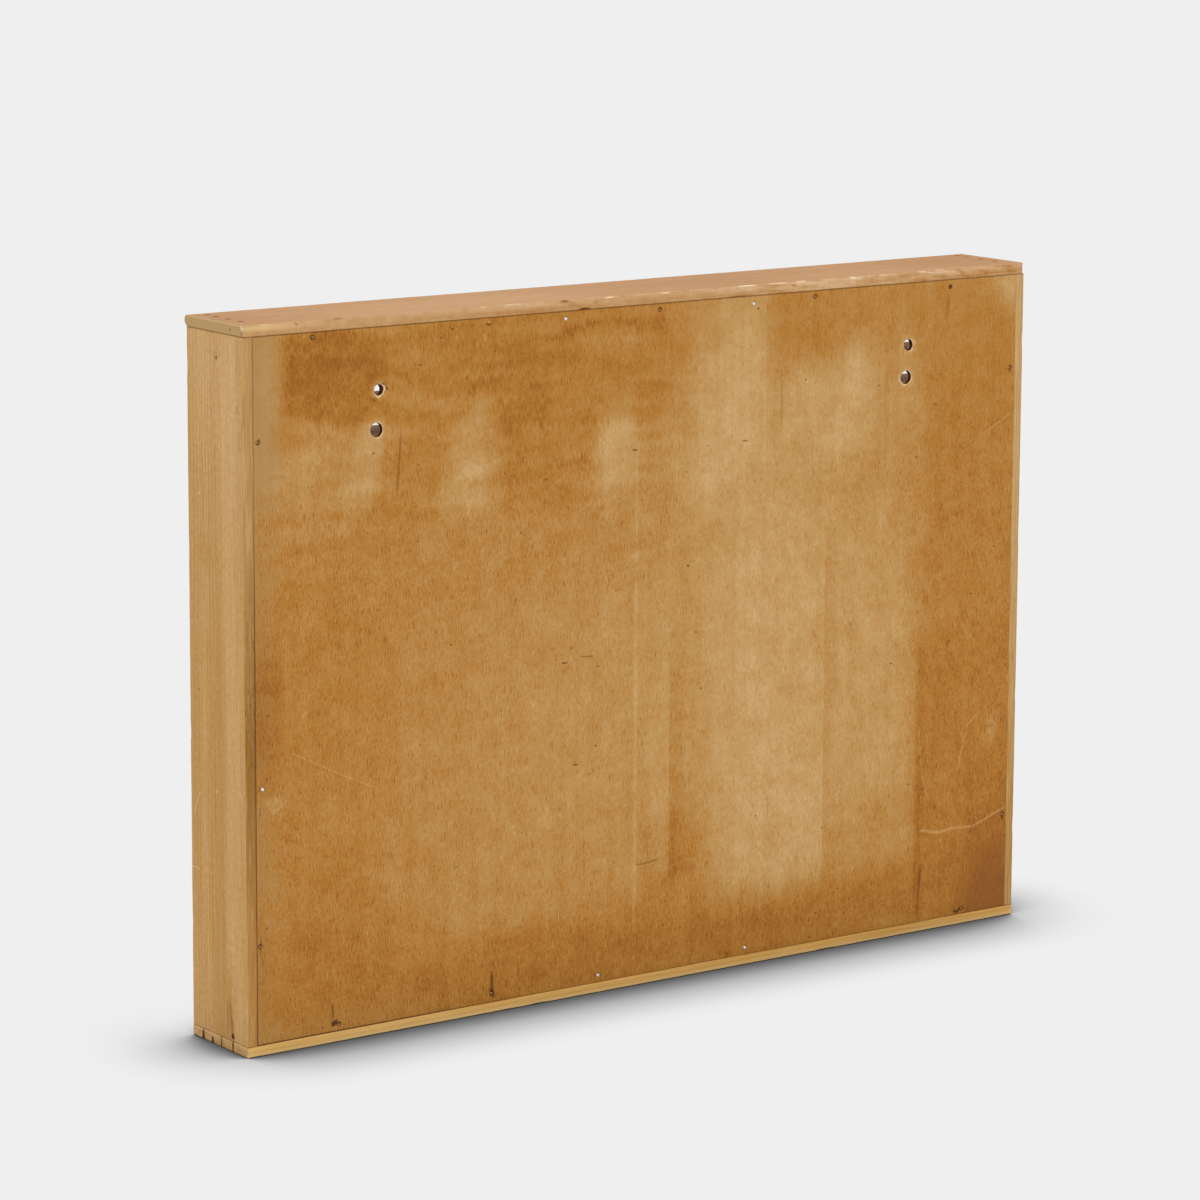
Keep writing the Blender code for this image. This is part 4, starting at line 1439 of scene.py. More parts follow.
def side_paint(sign, seed):
    p = Paint("side_pine_right" if sign > 0 else "side_pine_left", specular=0.08)
    x, y, z = p.x, p.y, p.z
    late, year, _ = rings_of(p, z, x, y, (sign * 275.0, -420.0), 3.45, 7.0, seed)
    fibre, band, cloud = grain_of(p, z, x, y, seed)
    mottle = p.noise((y, 0.45), (z, 0.26), seed, 3.0, 0.65)
    grit = p.noise((y, 1.7), (z, 0.55), seed + 5.0, 2.0, 0.7)
    front_half = p.ease(y, 12.0, 0.0, 0.35, 1.0)
    wy = p.plus(y, p.times(p.math("SUBTRACT", mottle, 0.5), 2.6))
    wz = p.plus(z, p.times(p.math("SUBTRACT", cloud, 0.5), 26.0))
    wz = p.plus(wz, p.times(p.math("SUBTRACT", fibre, 0.5), 14.0))
    tone = 0.558
    for cy, cz, hy, hz, target, soft, lean in SIDE_TONES:
        tone = p.patch(tone, p.times(wy, sign) if sign < 0 else wy, wz, cy, cz, hy, hz, target, 0.8, soft, 2.0, lean)
    tone = p.math("SUBTRACT", tone, p.times(p.times(late, front_half), p.mix(year, 0.05, 0.17)))
    tone = p.plus(tone, p.times(p.math("SUBTRACT", band, 0.5), 0.26))
    tone = p.plus(tone, p.times(p.math("SUBTRACT", mottle, 0.5), 0.52))
    tone = p.plus(tone, p.times(p.math("SUBTRACT", fibre, 0.5), 0.46))
    tone = p.plus(tone, p.times(p.math("SUBTRACT", grit, 0.5), 0.28))
    colour = p.ramp(
        p.ease(tone, -0.1, 1.1, smooth=False),
        [
            (0.0, srgb(138, 90, 38)),
            (0.14, srgb(160, 110, 50)),
            (0.33, srgb(173, 127, 67)),
            (0.44, srgb(180, 137, 79)),
            (0.50, srgb(184, 143, 89)),
            (0.57, srgb(189, 149, 98)),
            (0.645, srgb(194, 156, 108)),
            (0.73, srgb(199, 164, 119)),
            (0.80, srgb(204, 170, 127)),
            (1.0, srgb(217, 187, 148)),
        ],
    )
    at = (y, z)
    lively = (p.plus(y, p.times(p.math("SUBTRACT", fibre, 0.5), 1.0)), z)
    if sign > 0:
        # y, z ends of marks on the outer face: half width, fade, strength, tint
        for points, half, fade, strength, tint in (
            (((7.0, 97.0), (6.4, 70.0), (6.0, 42.0)), 0.25, 1.0, 0.30, (140, 92, 44)),
            (((10.5, 34.0), (9.8, 7.0)), 0.3, 1.0, 0.45, (128, 80, 36)),
            (((12.6, 36.0), (14.6, 8.0)), 0.3, 1.6, 0.50, (124, 72, 26)),
            (((14.8, 24.0), (16.4, 7.0)), 0.3, 1.5, 0.50, (124, 72, 26)),
            (((15.2, 12.0), (16.6, 7.0)), 0.8, 1.5, 0.95, (66, 32, 10)),
            (((-6.4, 92.0), (-6.0, 50.0)), 0.2, 0.8, 0.25, (150, 104, 54)),
            (((32.4, 360.0), (32.6, 180.0)), 0.2, 0.7, 0.45, (140, 96, 44)),
            (((-21.4, 215.9), (-19.6, 214.9)), 0.35, 0.6, 0.75, (104, 66, 30)),
            (((-14.6, 274.8), (-13.2, 271.6), (-11.8, 270.4)), 0.15, 0.5, 0.5, (140, 98, 50)),
            (((27.2, 391.6), (26.0, 389.4), (28.0, 388.0)), 0.2, 0.5, 0.6, (132, 92, 50)),
            (((28.4, 376.0), (28.6, 366.5), (31.0, 366.0)), 0.2, 0.5, 0.5, (140, 102, 56)),
            (((31.8, 366.0), (31.4, 386.0)), 0.2, 0.6, 0.45, (140, 102, 56)),
            (((19.8, 66.5), (30.0, 64.5)), 0.1, 0.5, 0.4, (146, 106, 58)),
            (((-23.8, 79.6), (-23.6, 77.0)), 0.3, 0.6, 0.5, (136, 94, 44)),
            (((-30.0, 120.0), (-30.2, 60.0)), 0.3, 1.0, 0.3, (140, 98, 50)),
        ):
            colour = p.blend(p.times(p.strokes(lively, points, half, fade), strength), colour, srgb(*tint))
        scratch = None
        for points, half, strength in (
            (((5.4, 366.0), (9.0, 363.4), (11.4, 361.6)), 0.12, 0.5),
            (((-20.0, 152.6), (-24.6, 144.8), (-26.6, 139.0)), 0.12, 0.5),
            (((-29.6, 105.0), (-26.0, 105.6), (-22.0, 104.6)), 0.15, 0.5),
            (((-20.4, 334.6), (-16.0, 335.4)), 0.35, 0.5),
            (((-1.0, 158.0), (0.0, 155.4)), 0.5, 0.5),
            (((26.0, 163.0), (29.6, 154.0)), 0.2, 0.4),
            (((-12.6, 274.0), (-10.4, 269.6)), 0.15, 0.35),
            (((-5.0, 182.0), (-3.0, 176.0)), 0.15, 0.3),
        ):
            one = p.times(p.strokes(at, points, half, 0.5), strength)
            scratch = one if scratch is None else p.math("MAXIMUM", scratch, one)
        colour = p.blend(scratch, colour, srgb(216, 184, 138))
        # a small knot near the top: dark heart, pale halo, torn light grain under it
        away = p.away(y, p.times(z, 0.8), 3.0, 418.0 * 0.8)
        away = p.plus(away, p.times(p.math("SUBTRACT", fibre, 0.5), 0.8))
        colour = p.blend(p.ease(away, 4.4, 1.2, 0.0, 0.36), colour, srgb(162, 116, 62))
        colour = p.blend(p.ease(away, 1.15, 0.35, 0.0, 0.9), colour, srgb(96, 60, 28))
        torn = p.line(lively, (3.4, 415.4), (4.8, 412.8), 0.4, 0.6)
        torn = p.math("MAXIMUM", torn, p.line(lively, (6.0, 416.6), (8.0, 413.4), 0.2, 0.5))
        colour = p.blend(p.times(torn, 0.55), colour, srgb(214, 182, 136))
    else:
        for cy, cz in ((-8.0, 300.0), (16.0, 122.0)):
            away = p.away(y, p.times(z, 0.6), cy, cz * 0.6)
            away = p.plus(away, p.times(p.math("SUBTRACT", fibre, 0.5), 1.0))
            colour = p.blend(p.ease(away, 6.0, 2.0, 0.0, 0.55), colour, srgb(158, 112, 60))
            colour = p.blend(p.ease(away, 2.2, 1.0, 0.0, 0.85), colour, srgb(100, 62, 32))
    # worn arrises are pale, grimy next to the joints
    out = p.math("SUBTRACT", X_OUT, p.math("ABSOLUTE", x))
    back = p.math("SUBTRACT", Y_BACK, y)
    front = p.math("SUBTRACT", y, Y_FRONT)
    rear_arris = p.math("MAXIMUM", p.ease(p.plus(out, back), 1.5, 0.35), p.ease(p.plus(out, front), 1.5, 0.35))
    colour = p.blend(p.times(rear_arris, 0.16), colour, srgb(210, 176, 128))
    # rear edge: lighter above, grimy brown along the middle, yellowish low down
    lip = p.ease(p.plus(back, p.times(fibre, 0.3)), 0.95, 0.45)
    drift = p.plus(z, p.times(p.math("SUBTRACT", mottle, 0.5), 26.0))
    lip_colour = p.ramp(p.math("DIVIDE", drift, TOP), LIP_RIGHT if sign > 0 else LIP_LEFT)
    vein = p.noise((x, 1.1), (z, 0.03), seed + 9.0, 3.0, 0.65)
    lip_colour = p.blend(p.ease(vein, 0.54, 0.34, 0.0, 0.30), lip_colour, srgb(116, 72, 28))
    lip_colour = p.blend(p.ease(vein, 0.52, 0.72, 0.0, 0.35), lip_colour, srgb(220, 188, 138))
    grime = p.noise((z, 0.16), (x, 0.5), seed + 7.0, 4.0, 0.7)
    mid = p.times(p.ease(z, 285.0, 245.0), p.ease(z, 150.0, 185.0))
    spots = p.times(p.ease(grime, 0.50, 0.68), p.mix(mid, 0.10, 0.75 if sign > 0 else 0.2))
    lip_colour = p.blend(spots, lip_colour, srgb(112, 72, 26))
    colour = p.blend(lip, colour, lip_colour)
    ends = p.math("MINIMUM", p.math("SUBTRACT", z, 6.7), p.math("SUBTRACT", 432.7, z))
    colour = p.blend(p.ease(ends, 0.7, 0.0, 0.0, 0.35), colour, srgb(120, 76, 34))
    if sign < 0:
        rim = p.times(p.ease(out, 0.75, 0.25), p.ease(back, 4.0, 1.0))
        colour = p.blend(p.times(rim, 0.60), colour, srgb(122, 74, 36))
    # the rabbet's edge by the panel
    by_panel = p.ease(p.math("SUBTRACT", out, LIP), -0.5, -0.1)
    colour = p.blend(p.times(by_panel, 0.12), colour, srgb(120, 78, 38))
    colour = p.blend(1.0, colour, (1.0, 0.985, 0.90, 1.0), "MULTIPLY")
    rough = p.plus(0.50, p.times(p.math("SUBTRACT", fibre, 0.5), 0.25))
    height = p.plus(p.times(fibre, 0.5), p.times(late, 0.35))
    return p.finish(colour, rough, height, 0.28, 0.00025)


def end_grain(p, along_end, late, fibre, pale, dark):
    """A saw-cut end: darker, with the rings showing strongly."""
    speck = p.noise((p.x, 1.6), (p.y, 1.6), (p.z, 1.6), 3.0, 0.7)
    tint = p.blend(p.times(late, 0.6), pale, dark)
    tint = p.blend(p.ease(speck, 0.5, 0.72, 0.0, 0.35), tint, dark)
    return tint


TOP_TONES = (
    # centre (x, y), half sizes, tone, softness, lean
    (290, 10, 60, 30, 0.50, 0.8, 0.0),  # duller at the near end
    (130, 12, 110, 24, 0.76, 0.8, 0.0),  # paler along here
    (-60, 5, 90, 30, 0.50, 0.8, 0.0),  # darker past the middle
    (-170, 20, 60, 14, 0.66, 0.8, 0.0),
    (-270, -5, 60, 30, 0.46, 0.8, 0.0),  # darker at the far end
)
REAR_TONES = (
    # the top board's rear edge: centre (x, depth under the top), half sizes, tone, softness, lean
    (275, 2, 24, 2.2, 0.90, 0.7, 0.0),  # pale and yellowish at the near end
    (265, 5.5, 50, 2, 0.50, 0.8, 0.0),
    (110, 1, 80, 2, 0.80, 0.8, 0.0),  # a paler upper half
    (70, 5.5, 90, 2, 0.38, 0.8, 0.0),  # browner underneath
    (-30, 5.5, 60, 2.2, 0.42, 0.8, 0.0),
    (-90, 1.5, 60, 2, 0.90, 0.8, 0.0),  # light wood from here on, flamed
    (-150, 2, 40, 2.6, 0.88, 0.8, 0.0),
    (-190, 4.5, 26, 2, 0.46, 0.7, 1.0),
    (-235, 2.5, 22, 2.2, 0.86, 0.7, 1.5),
    (-262, 5, 16, 1.8, 0.30, 0.7, 1.5),
    # bruises and nicks
    (-287, 3.4, 5.0, 3.2, 0.30, 0.60, -0.6),
    (-228, 5.2, 6.0, 1.8, 0.30, 0.80, -1.2),
    (-245, 3.6, 3.0, 3.4, 0.30, 0.80, -1.6),
    (-172, 2.2, 8.0, 1.4, 0.40, 0.80, 1.6),
    (-199, 3.0, 4.0, 1.6, 0.44, 0.80, 0.0),
    (-89, 1.8, 6.0, 1.4, 0.36, 0.80, 0.0),
    (66, 2.6, 5.0, 2.0, 0.26, 0.80, -2.0),
    (46.2, 3.0, 1.8, 1.0, 0.20, 0.80, 0.0),
    (-106, 2.8, 2.2, 0.9, 0.22, 0.80, 0.0),
    (-182.4, 4.8, 0.9, 0.7, 0.0, 0.80, 0.0),
    (262.3, 1.6, 0.9, 0.8, 0.15, 0.80, 0.0),
)
# slivers knocked off the arris, showing pale wood: from x, to x, strength
SLIVERS = (
    (133, 127, 0.35), (117, 100, 0.40), (40, 32, 0.75), (-2, -11, 0.6), (-61, -79, 1.0),
    (-84, -104, 0.55), (-108, -118, 0.6), (-151.5, -158.5, 1.0), (-176, -184, 0.4), (-208, -217, 0.6),
    (-222, -232, 0.4), (289, 280, 0.3),
)


def top_paint():
    p = Paint("top_pine", specular=0.0)
    x, y, z = p.x, p.y, p.z
    late, year, _ = rings_of(p, x, y, z, (-46.0, 330.0), 3.3, 26.0, 21.0)
    fibre, band, cloud = grain_of(p, x, y, z, 21.0)
    mottle = p.noise((x, 0.22), (y, 0.22), (z, 0.22), 3.0, 0.65)
    wx = p.plus(x, p.times(p.math("SUBTRACT", cloud, 0.5), 60.0))
    wy = p.plus(y, p.times(p.math("SUBTRACT", mottle, 0.5), 9.0))
    tone = 0.612
    for cx, cy, hx, hy, target, soft, lean in TOP_TONES:
        tone = p.patch(tone, wx, wy, cx, cy, hx, hy, target, 0.8, soft, 2.0, lean)
    tone = p.math("SUBTRACT", tone, p.times(late, p.mix(year, 0.01, 0.05)))
    tone = p.plus(tone, p.times(p.math("SUBTRACT", band, 0.5), 0.22))
    tone = p.plus(tone, p.times(p.math("SUBTRACT", mottle, 0.5), 0.30))
    tone = p.plus(tone, p.times(p.math("SUBTRACT", fibre, 0.5), 0.26))
    top_colour = p.ramp(
        p.ease(tone, 0.0, 1.1, smooth=False),
        [
            (0.0, srgb(155, 107, 68)),
            (0.08, srgb(163, 116, 78)),
            (0.32, srgb(179, 135, 96)),
            (0.435, srgb(185, 142, 104)),
            (0.50, srgb(188, 147, 109)),
            (0.60, srgb(194, 153, 115)),
            (0.68, srgb(199, 158, 119)),
            (0.78, srgb(204, 163, 128)),
            (0.91, srgb(211, 173, 135)),
            (1.0, srgb(218, 182, 146)),
        ],
    )
    # a faint pink and a faint yellow cast drift over it
    cast = p.noise((x, 0.022), (y, 0.05), 31.0, 3.0, 0.6)
    top_colour = p.blend(p.ease(cast, 0.50, 0.66, 0.0, 0.30), top_colour, srgb(206, 158, 128))
    top_colour = p.blend(p.ease(cast, 0.44, 0.34, 0.0, 0.30), top_colour, srgb(188, 154, 104))
    # small darker bruises and short dark hairs along the grain
    far, pick, _ = p.dots((x, 0.05), (y, 0.16))
    bruise = p.times(p.ease(far, 0.16, 0.02), p.ease(pick, 0.70, 0.76))
    top_colour = p.blend(p.times(bruise, 0.28), top_colour, srgb(150, 100, 62))
    # rear edge: a yellower, paler wood, with ring figure towards the right end
    deep = p.math("SUBTRACT", TOP, z)
    rear_x = p.plus(x, p.times(p.math("SUBTRACT", cloud, 0.5), 8.0))
    rear_x = p.plus(rear_x, p.times(p.math("SUBTRACT", mottle, 0.5), 5.0))
    rear_tone = 0.61
    for cx, cz, hx, hz, target, soft, lean in REAR_TONES:
        rear_tone = p.patch(rear_tone, rear_x, deep, cx, cz, hx, hz, target, 0.8, soft, 2.0, lean)
    flame = p.noise((p.plus(rear_x, p.times(deep, 3.4)), 0.045), (deep, 0.30), 33.0, 3.0, 0.6)
    flame = p.times(p.math("SUBTRACT", flame, 0.5), p.ease(x, 110.0, -190.0, 0.25, 1.35))
    rear_tone = p.plus(rear_tone, flame)
    rear_tone = p.plus(rear_tone, p.times(p.math("SUBTRACT", mottle, 0.5), 0.60))
    rear_tone = p.plus(rear_tone, p.times(p.math("SUBTRACT", band, 0.5), 0.42))
    rear_tone = p.plus(rear_tone, p.times(p.math("SUBTRACT", fibre, 0.5), 0.34))
    rear_colour = p.ramp(
        p.ease(rear_tone, 0.0, 1.2, smooth=False),
        [
            (0.0, srgb(148, 90, 36)),
            (0.12, srgb(170, 114, 57)),
            (0.25, srgb(181, 132, 80)),
            (0.345, srgb(187, 141, 91)),
            (0.44, srgb(192, 149, 101)),
            (0.55, srgb(198, 157, 111)),
            (0.66, srgb(206, 166, 123)),
            (0.775, srgb(214, 175, 135)),
            (0.95, srgb(225, 198, 169)),
        ],
    )
    yellow = p.times(p.ease(x, 262.0, 292.0), p.ease(deep, 5.0, 2.0))
    rear_colour = p.blend(p.times(yellow, 0.55), rear_colour, srgb(216, 184, 112))
    under = p.math("SUBTRACT", TOP, z)
    back = p.math("SUBTRACT", Y_BACK, y)
    rear = p.times(p.ease(under, 0.10, 0.45), p.ease(p.math("SUBTRACT", back, under), 0.6, -0.4))
    colour = p.blend(rear, top_colour, rear_colour)
    # knocked-off bits of the rear arris are fresh wood
    lost = p.math("MINIMUM", under, back)
    fresh = p.times(p.ease(lost, 0.16, 0.42), p.ease(p.plus(under, back), 3.6, 1.6))
    colour = p.blend(p.times(fresh, 0.30), colour, srgb(214, 176, 128))
    sliver = None
    for start, stop, share in SLIVERS:
        one = p.times(p.ease(p.math("ABSOLUTE", p.math("SUBTRACT", x, (start + stop) / 2)), abs(start - stop) / 2, abs(start - stop) / 6), share)
        sliver = one if sliver is None else p.math("MAXIMUM", sliver, one)
    on_arris = p.ease(p.math("ABSOLUTE", p.math("SUBTRACT", p.plus(p.times(fibre, 1.2), p.math("SUBTRACT", under, back)), 0.9)), 0.9, 0.3)
    near = p.ease(p.plus(under, back), 2.6, 1.7)
    colour = p.blend(p.times(sliver, p.times(on_arris, near)), colour, srgb(240, 216, 182))
    # a thin reddish line along the arris where the finish has gathered
    rim = p.times(p.ease(p.math("ABSOLUTE", p.math("SUBTRACT", under, 0.75)), 0.5, 0.1), p.ease(band, 0.46, 0.62, 0.0, 0.42))
    colour = p.blend(p.times(rim, p.times(p.ease(back, 1.4, 0.7), p.math("SUBTRACT", 1.0, sliver))), colour, srgb(166, 106, 62))
    stain = p.patch(0.0, x, under, 70.0, 0.9, 3.0, 0.8, 0.6, 1.0, 0.6)
    stain = p.patch(stain, x, under, 233.0, 0.5, 3.0, 0.6, 0.5, 1.0, 0.6)
    stain = p.patch(stain, x, under, 55.3, 6.9, 3.8, 1.1, 1.0, 1.0, 0.5)
    stain = p.patch(stain, x, under, -63.0, 6.9, 7.0, 0.6, 0.6, 1.0, 0.6)
    colour = p.blend(p.times(stain, p.ease(back, 2.0, 0.6)), colour, srgb(112, 60, 24))
    # end grain
    end = p.math("SUBTRACT", X_OUT, p.math("ABSOLUTE", x))
    end_late, _, _ = rings_of(p, p.times(x, 0.0), y, z, (-46.0, 330.0), 1.9, 8.0, 5.0)
    cut_end = end_grain(p, end, p.times(end_late, 0.10), fibre, srgb(180, 148, 101), srgb(146, 112, 68))
    greyed = p.noise((y, 0.12), (z, 0.2), 3.0, 3.0)
    cut_end = p.blend(p.ease(greyed, 0.45, 0.7, 0.0, 0.35), cut_end, srgb(164, 142, 98))
    cut_end = p.blend(p.ease(under, 1.6, 0.5, 0.0, 0.45), cut_end, srgb(206, 174, 130))
    colour = p.blend(p.ease(end, 0.30, 0.08), colour, cut_end)
    # an end check by the rear corner: a dark crack and a whitish broken corner
    crack = p.line((y, z), (32.6, 438.6), (32.2, 433.6), 0.25, 0.35)
    at_end = p.times(p.ease(end, 1.2, 0.3), p.ease(x, 200.0, 250.0))
    colour = p.blend(p.times(p.times(crack, at_end), 0.7), colour, srgb(116, 66, 34))
    white = p.times(p.patch(0.0, y, z, 32.2, 438.2, 0.9, 1.5, 0.8, 1.0, 0.6), at_end)
    colour = p.blend(white, colour, srgb(220, 206, 178))
    dot = p.times(p.patch(0.0, y, z, 19.5, 436.2, 0.7, 0.7, 0.8, 1.0, 0.5), at_end)
    colour = p.blend(dot, colour, srgb(110, 76, 40))
    # dark wood round the driven nails, drawn out along the grain
    stained = None
    for sign in (-1, 1):
        for k, ny in enumerate(TOP_NAIL_Y):
            one = p.ease(p.away(p.times(x, 0.66), y, sign * TOP_NAIL_X * 0.66, ny), 2.0, 1.2)
            stained = one if stained is None else p.math("MAXIMUM", stained, one)
    colour = p.blend(p.times(stained, 0.85), colour, srgb(128, 76, 44))
    low = p.ease(p.math("SUBTRACT", z, UNDER_TOP), 0.7, 0.1)
    colour = p.blend(p.times(low, 0.40), colour, srgb(118, 68, 30))
    rough = p.plus(0.50, p.times(p.math("SUBTRACT", band, 0.5), 0.25))
    height = p.plus(p.times(fibre, 0.6), p.times(late, 0.3))
    return p.finish(colour, rough, height, 0.28, 0.00025)


def bottom_paint():
    p = Paint("bottom_pine", specular=0.14)
    x, y, z = p.x, p.y, p.z
    late, year, _ = rings_of(p, x, y, z, (24.0, -70.0), 2.6, 18.0, 41.0)
    fibre, band, cloud = grain_of(p, x, y, z, 41.0)
    tone = p.plus(0.56, p.times(p.math("SUBTRACT", band, 0.5), 0.6))
    tone = p.plus(tone, p.times(p.math("SUBTRACT", cloud, 0.5), 0.55))
    tone = p.math("SUBTRACT", tone, p.times(late, p.mix(year, 0.06, 0.24)))
    tone = p.plus(tone, p.times(p.math("SUBTRACT", fibre, 0.5), 0.34))
    tone = p.plus(tone, p.ease(x, -40.0, 240.0, -0.16, 0.14))
    # painted light: these colours are paler than the other boards', lifting the board's own pine to make up for the
    # dim light it gets off the shadowed floor
    colour = p.ramp(
        p.ease(tone, -0.1, 1.1, smooth=False),
        [
            (0.0, srgb(178, 129, 66)),
            (0.3, srgb(203, 155, 87)),
            (0.52, srgb(217, 171, 106)),
            (0.72, srgb(227, 184, 123)),
            (1.0, srgb(238, 202, 146)),
        ],
    )
    colour = p.blend(1.0, colour, (0.98, 0.94, 0.76, 1.0), "MULTIPLY")
    end = p.math("SUBTRACT", X_OUT, p.math("ABSOLUTE", x))
    end_lines = p.noise((y, 0.05), (z, 1.5), 45.0, 3.0, 0.6)
    end_cloud = p.noise((y, 0.16), (z, 0.3), 47.0, 3.0, 0.6)
    cut_end = p.ramp(
        p.plus(p.times(end_lines, 0.55), p.times(end_cloud, 0.45)),
        [
            (0.30, srgb(150, 108, 62)),
            (0.43, srgb(178, 137, 84)),
            (0.54, srgb(194, 155, 101)),
            (0.70, srgb(208, 172, 122)),
        ],
    )
    colour = p.blend(p.ease(end, 0.30, 0.08), colour, cut_end)
    # dark splits over the nails
    split = None
    for share, low_half, top_half, height in END_SPLITS:
        cy = Y_FRONT + share * DEPTH
        tall = p.math("DIVIDE", z, height)
        half = p.plus(low_half, p.times(tall, top_half - low_half))
        off = p.math("DIVIDE", p.math("ABSOLUTE", p.math("SUBTRACT", y, cy)), p.plus(half, 0.25))
        one = p.times(p.ease(off, 1.35, 0.75), p.ease(tall, 1.15, 0.9))
        split = one if split is None else p.math("MAXIMUM", split, one)
    split = p.times(split, p.ease(end, 4.0, 1.8))
    heart = p.ease(fibre, 0.35, 0.7)
    colour = p.blend(p.times(split, 0.95), colour, p.blend(heart, srgb(66, 36, 18), srgb(112, 68, 34)))
    joint = p.ease(p.math("SUBTRACT", OVER_BOTTOM, z), 0.5, 0.1)
    colour = p.blend(p.times(joint, 0.35), colour, srgb(112, 72, 36))
    under_joint = p.times(p.ease(p.math("ABSOLUTE", p.math("SUBTRACT", z, OVER_BOTTOM - 1.0)), 0.6, 0.2), p.ease(end, 1.0, 0.3))
    colour = p.blend(p.times(under_joint, 0.45), colour, srgb(214, 180, 132))
    # the lowest part of the rear edge is worn pale
    worn = p.times(p.ease(z, 3.4, 0.6), p.ease(p.math("SUBTRACT", Y_BACK, y), 1.6, 0.6))
    colour = p.blend(p.times(worn, 0.60), colour, srgb(244, 206, 142))
    rough = p.plus(0.52, p.times(p.math("SUBTRACT", band, 0.5), 0.22))
    height = p.plus(p.times(fibre, 0.6), p.times(late, 0.3))
    return p.finish(colour, rough, height, 0.28, 0.00025)


# --------------------------------------------------------- lattice and rails
def strip_paint(name, axis, seed, key, pale=0.0):
    """Thin sawn strips. axis is the way their grain runs, key the coordinate and pitch that tell
    one strip from the next, so that each has its own figure and shade."""
    p = Paint(name, specular=0.05)
    along, a, b = {"x": (p.x, p.y, p.z), "z": (p.z, p.y, p.x)}[axis]
    offset, pitch = key
    which = p.math("ROUND", p.math("DIVIDE", p.math("SUBTRACT", b, offset), pitch))
    own = p.add("TexWhiteNoise", noise_dimensions="1D")
    p.feed(own.inputs["W"], p.plus(which, seed))
    shade = own.outputs["Value"]
    shift = p.times(shade, 160.0)
    late, year, _ = rings_of(
        p, p.plus(along, shift), p.plus(a, p.times(shade, 31.0)), b, (60.0, 40.0), 2.6, 22.0, seed
    )
    fibre, band, cloud = grain_of(p, p.plus(along, shift), a, p.plus(b, shift), seed)
    tone = p.plus(0.50 + pale, p.times(p.math("SUBTRACT", shade, 0.5), 0.34))
    tone = p.plus(tone, p.times(p.math("SUBTRACT", band, 0.5), 0.55))
    tone = p.plus(tone, p.times(p.math("SUBTRACT", cloud, 0.5), 0.5))
    tone = p.math("SUBTRACT", tone, p.times(late, p.mix(year, 0.06, 0.26)))
    tone = p.plus(tone, p.times(p.math("SUBTRACT", fibre, 0.5), 0.34))
    colour = p.ramp(
        p.ease(tone, -0.2, 1.2, smooth=False),
        [
            (0.0, srgb(146, 102, 56)),
            (0.3, srgb(174, 130, 78)),
            (0.5, srgb(190, 148, 95)),
            (0.7, srgb(202, 164, 113)),
            (1.0, srgb(218, 186, 140)),
        ],
    )
    # handled front edges are a little darker and smoother than the dusty insides
    front = p.ease(p.math("SUBTRACT", p.y, LATTICE_FRONT), 2.6, 0.3)
    colour = p.blend(p.times(front, p.ease(cloud, 0.35, 0.7, 0.1, 0.45)), colour, srgb(164, 118, 66))
    # painted shade: the strips are darker the deeper they lie in the lattice, towards the back panel
    deep = p.ease(p.y, 0.0, 29.0, 0.0, 0.22)
    colour = p.blend(deep, colour, srgb(150, 112, 70))
    # saw marks across the strip
    saw = p.noise((along, 0.9), (a, 0.05), p.plus(p.times(b, 0.05), seed))
    rough = p.mix(front, 0.62, 0.48)
    height = p.plus(p.times(fibre, 0.6), p.times(saw, 0.5))
    return p.finish(colour, rough, height, 0.3, 0.0003)


def t_nail_paint():
    p = Paint("t_nail_rusty", metallic=0.75, specular=0.5)
    crust = p.noise((p.x, 1.1), (p.y, 1.1), (p.z, 1.1), 4.0, 0.65)
    fine = p.noise((p.x, 5.0), (p.y, 5.0), (p.z, 5.0), 3.0, 0.6)
    colour = p.ramp(
        crust,
        [
            (0.30, srgb(62, 46, 38)),
            (0.48, srgb(92, 62, 44)),
            (0.62, srgb(122, 78, 48)),
            (0.80, srgb(146, 98, 62)),
        ],
    )
    colour = p.blend(p.ease(fine, 0.6, 0.75, 0.0, 0.5), colour, srgb(54, 40, 34))
    rough = p.ease(crust, 0.3, 0.7, 0.45, 0.8)
    return p.finish(colour, rough, p.plus(crust, p.times(fine, 0.4)), 0.5, 0.0002)


def dark_nail_paint():
    p = Paint("dull_nail", metallic=0.15, specular=0.2)
    crust = p.noise((p.x, 1.4), (p.y, 1.4), (p.z, 1.4), 4.0, 0.65)
    fine = p.noise((p.x, 5.5), (p.y, 5.5), (p.z, 5.5), 3.0, 0.6)
    colour = p.ramp(
        crust,
        [
            (0.30, srgb(58, 32, 18)),
            (0.46, srgb(88, 52, 28)),
            (0.60, srgb(116, 72, 38)),
            (0.80, srgb(144, 98, 58)),
        ],
    )
    colour = p.blend(p.ease(fine, 0.6, 0.75, 0.0, 0.6), colour, srgb(58, 38, 28))
    worn = None
    for number, (x, z) in enumerate(PANEL_NAILS + EXTRA_NAILS, 1):
        if number in BRIGHT or number == 5:
            continue
        turn = number * 2.4
        one = p.ease(p.away(p.x, p.z, x + 0.4 * math.cos(turn), z + 0.4 * math.sin(turn)), 1.15, 0.75)
        worn = one if worn is None else p.math("MAXIMUM", worn, one)
    colour = p.blend(p.times(worn, p.ease(fine, 0.35, 0.6, 0.9, 0.5)), colour, srgb(188, 138, 86))
    rough = p.ease(crust, 0.3, 0.7, 0.42, 0.78)
    return p.finish(colour, rough, p.plus(crust, p.times(fine, 0.5)), 0.6, 0.0002)


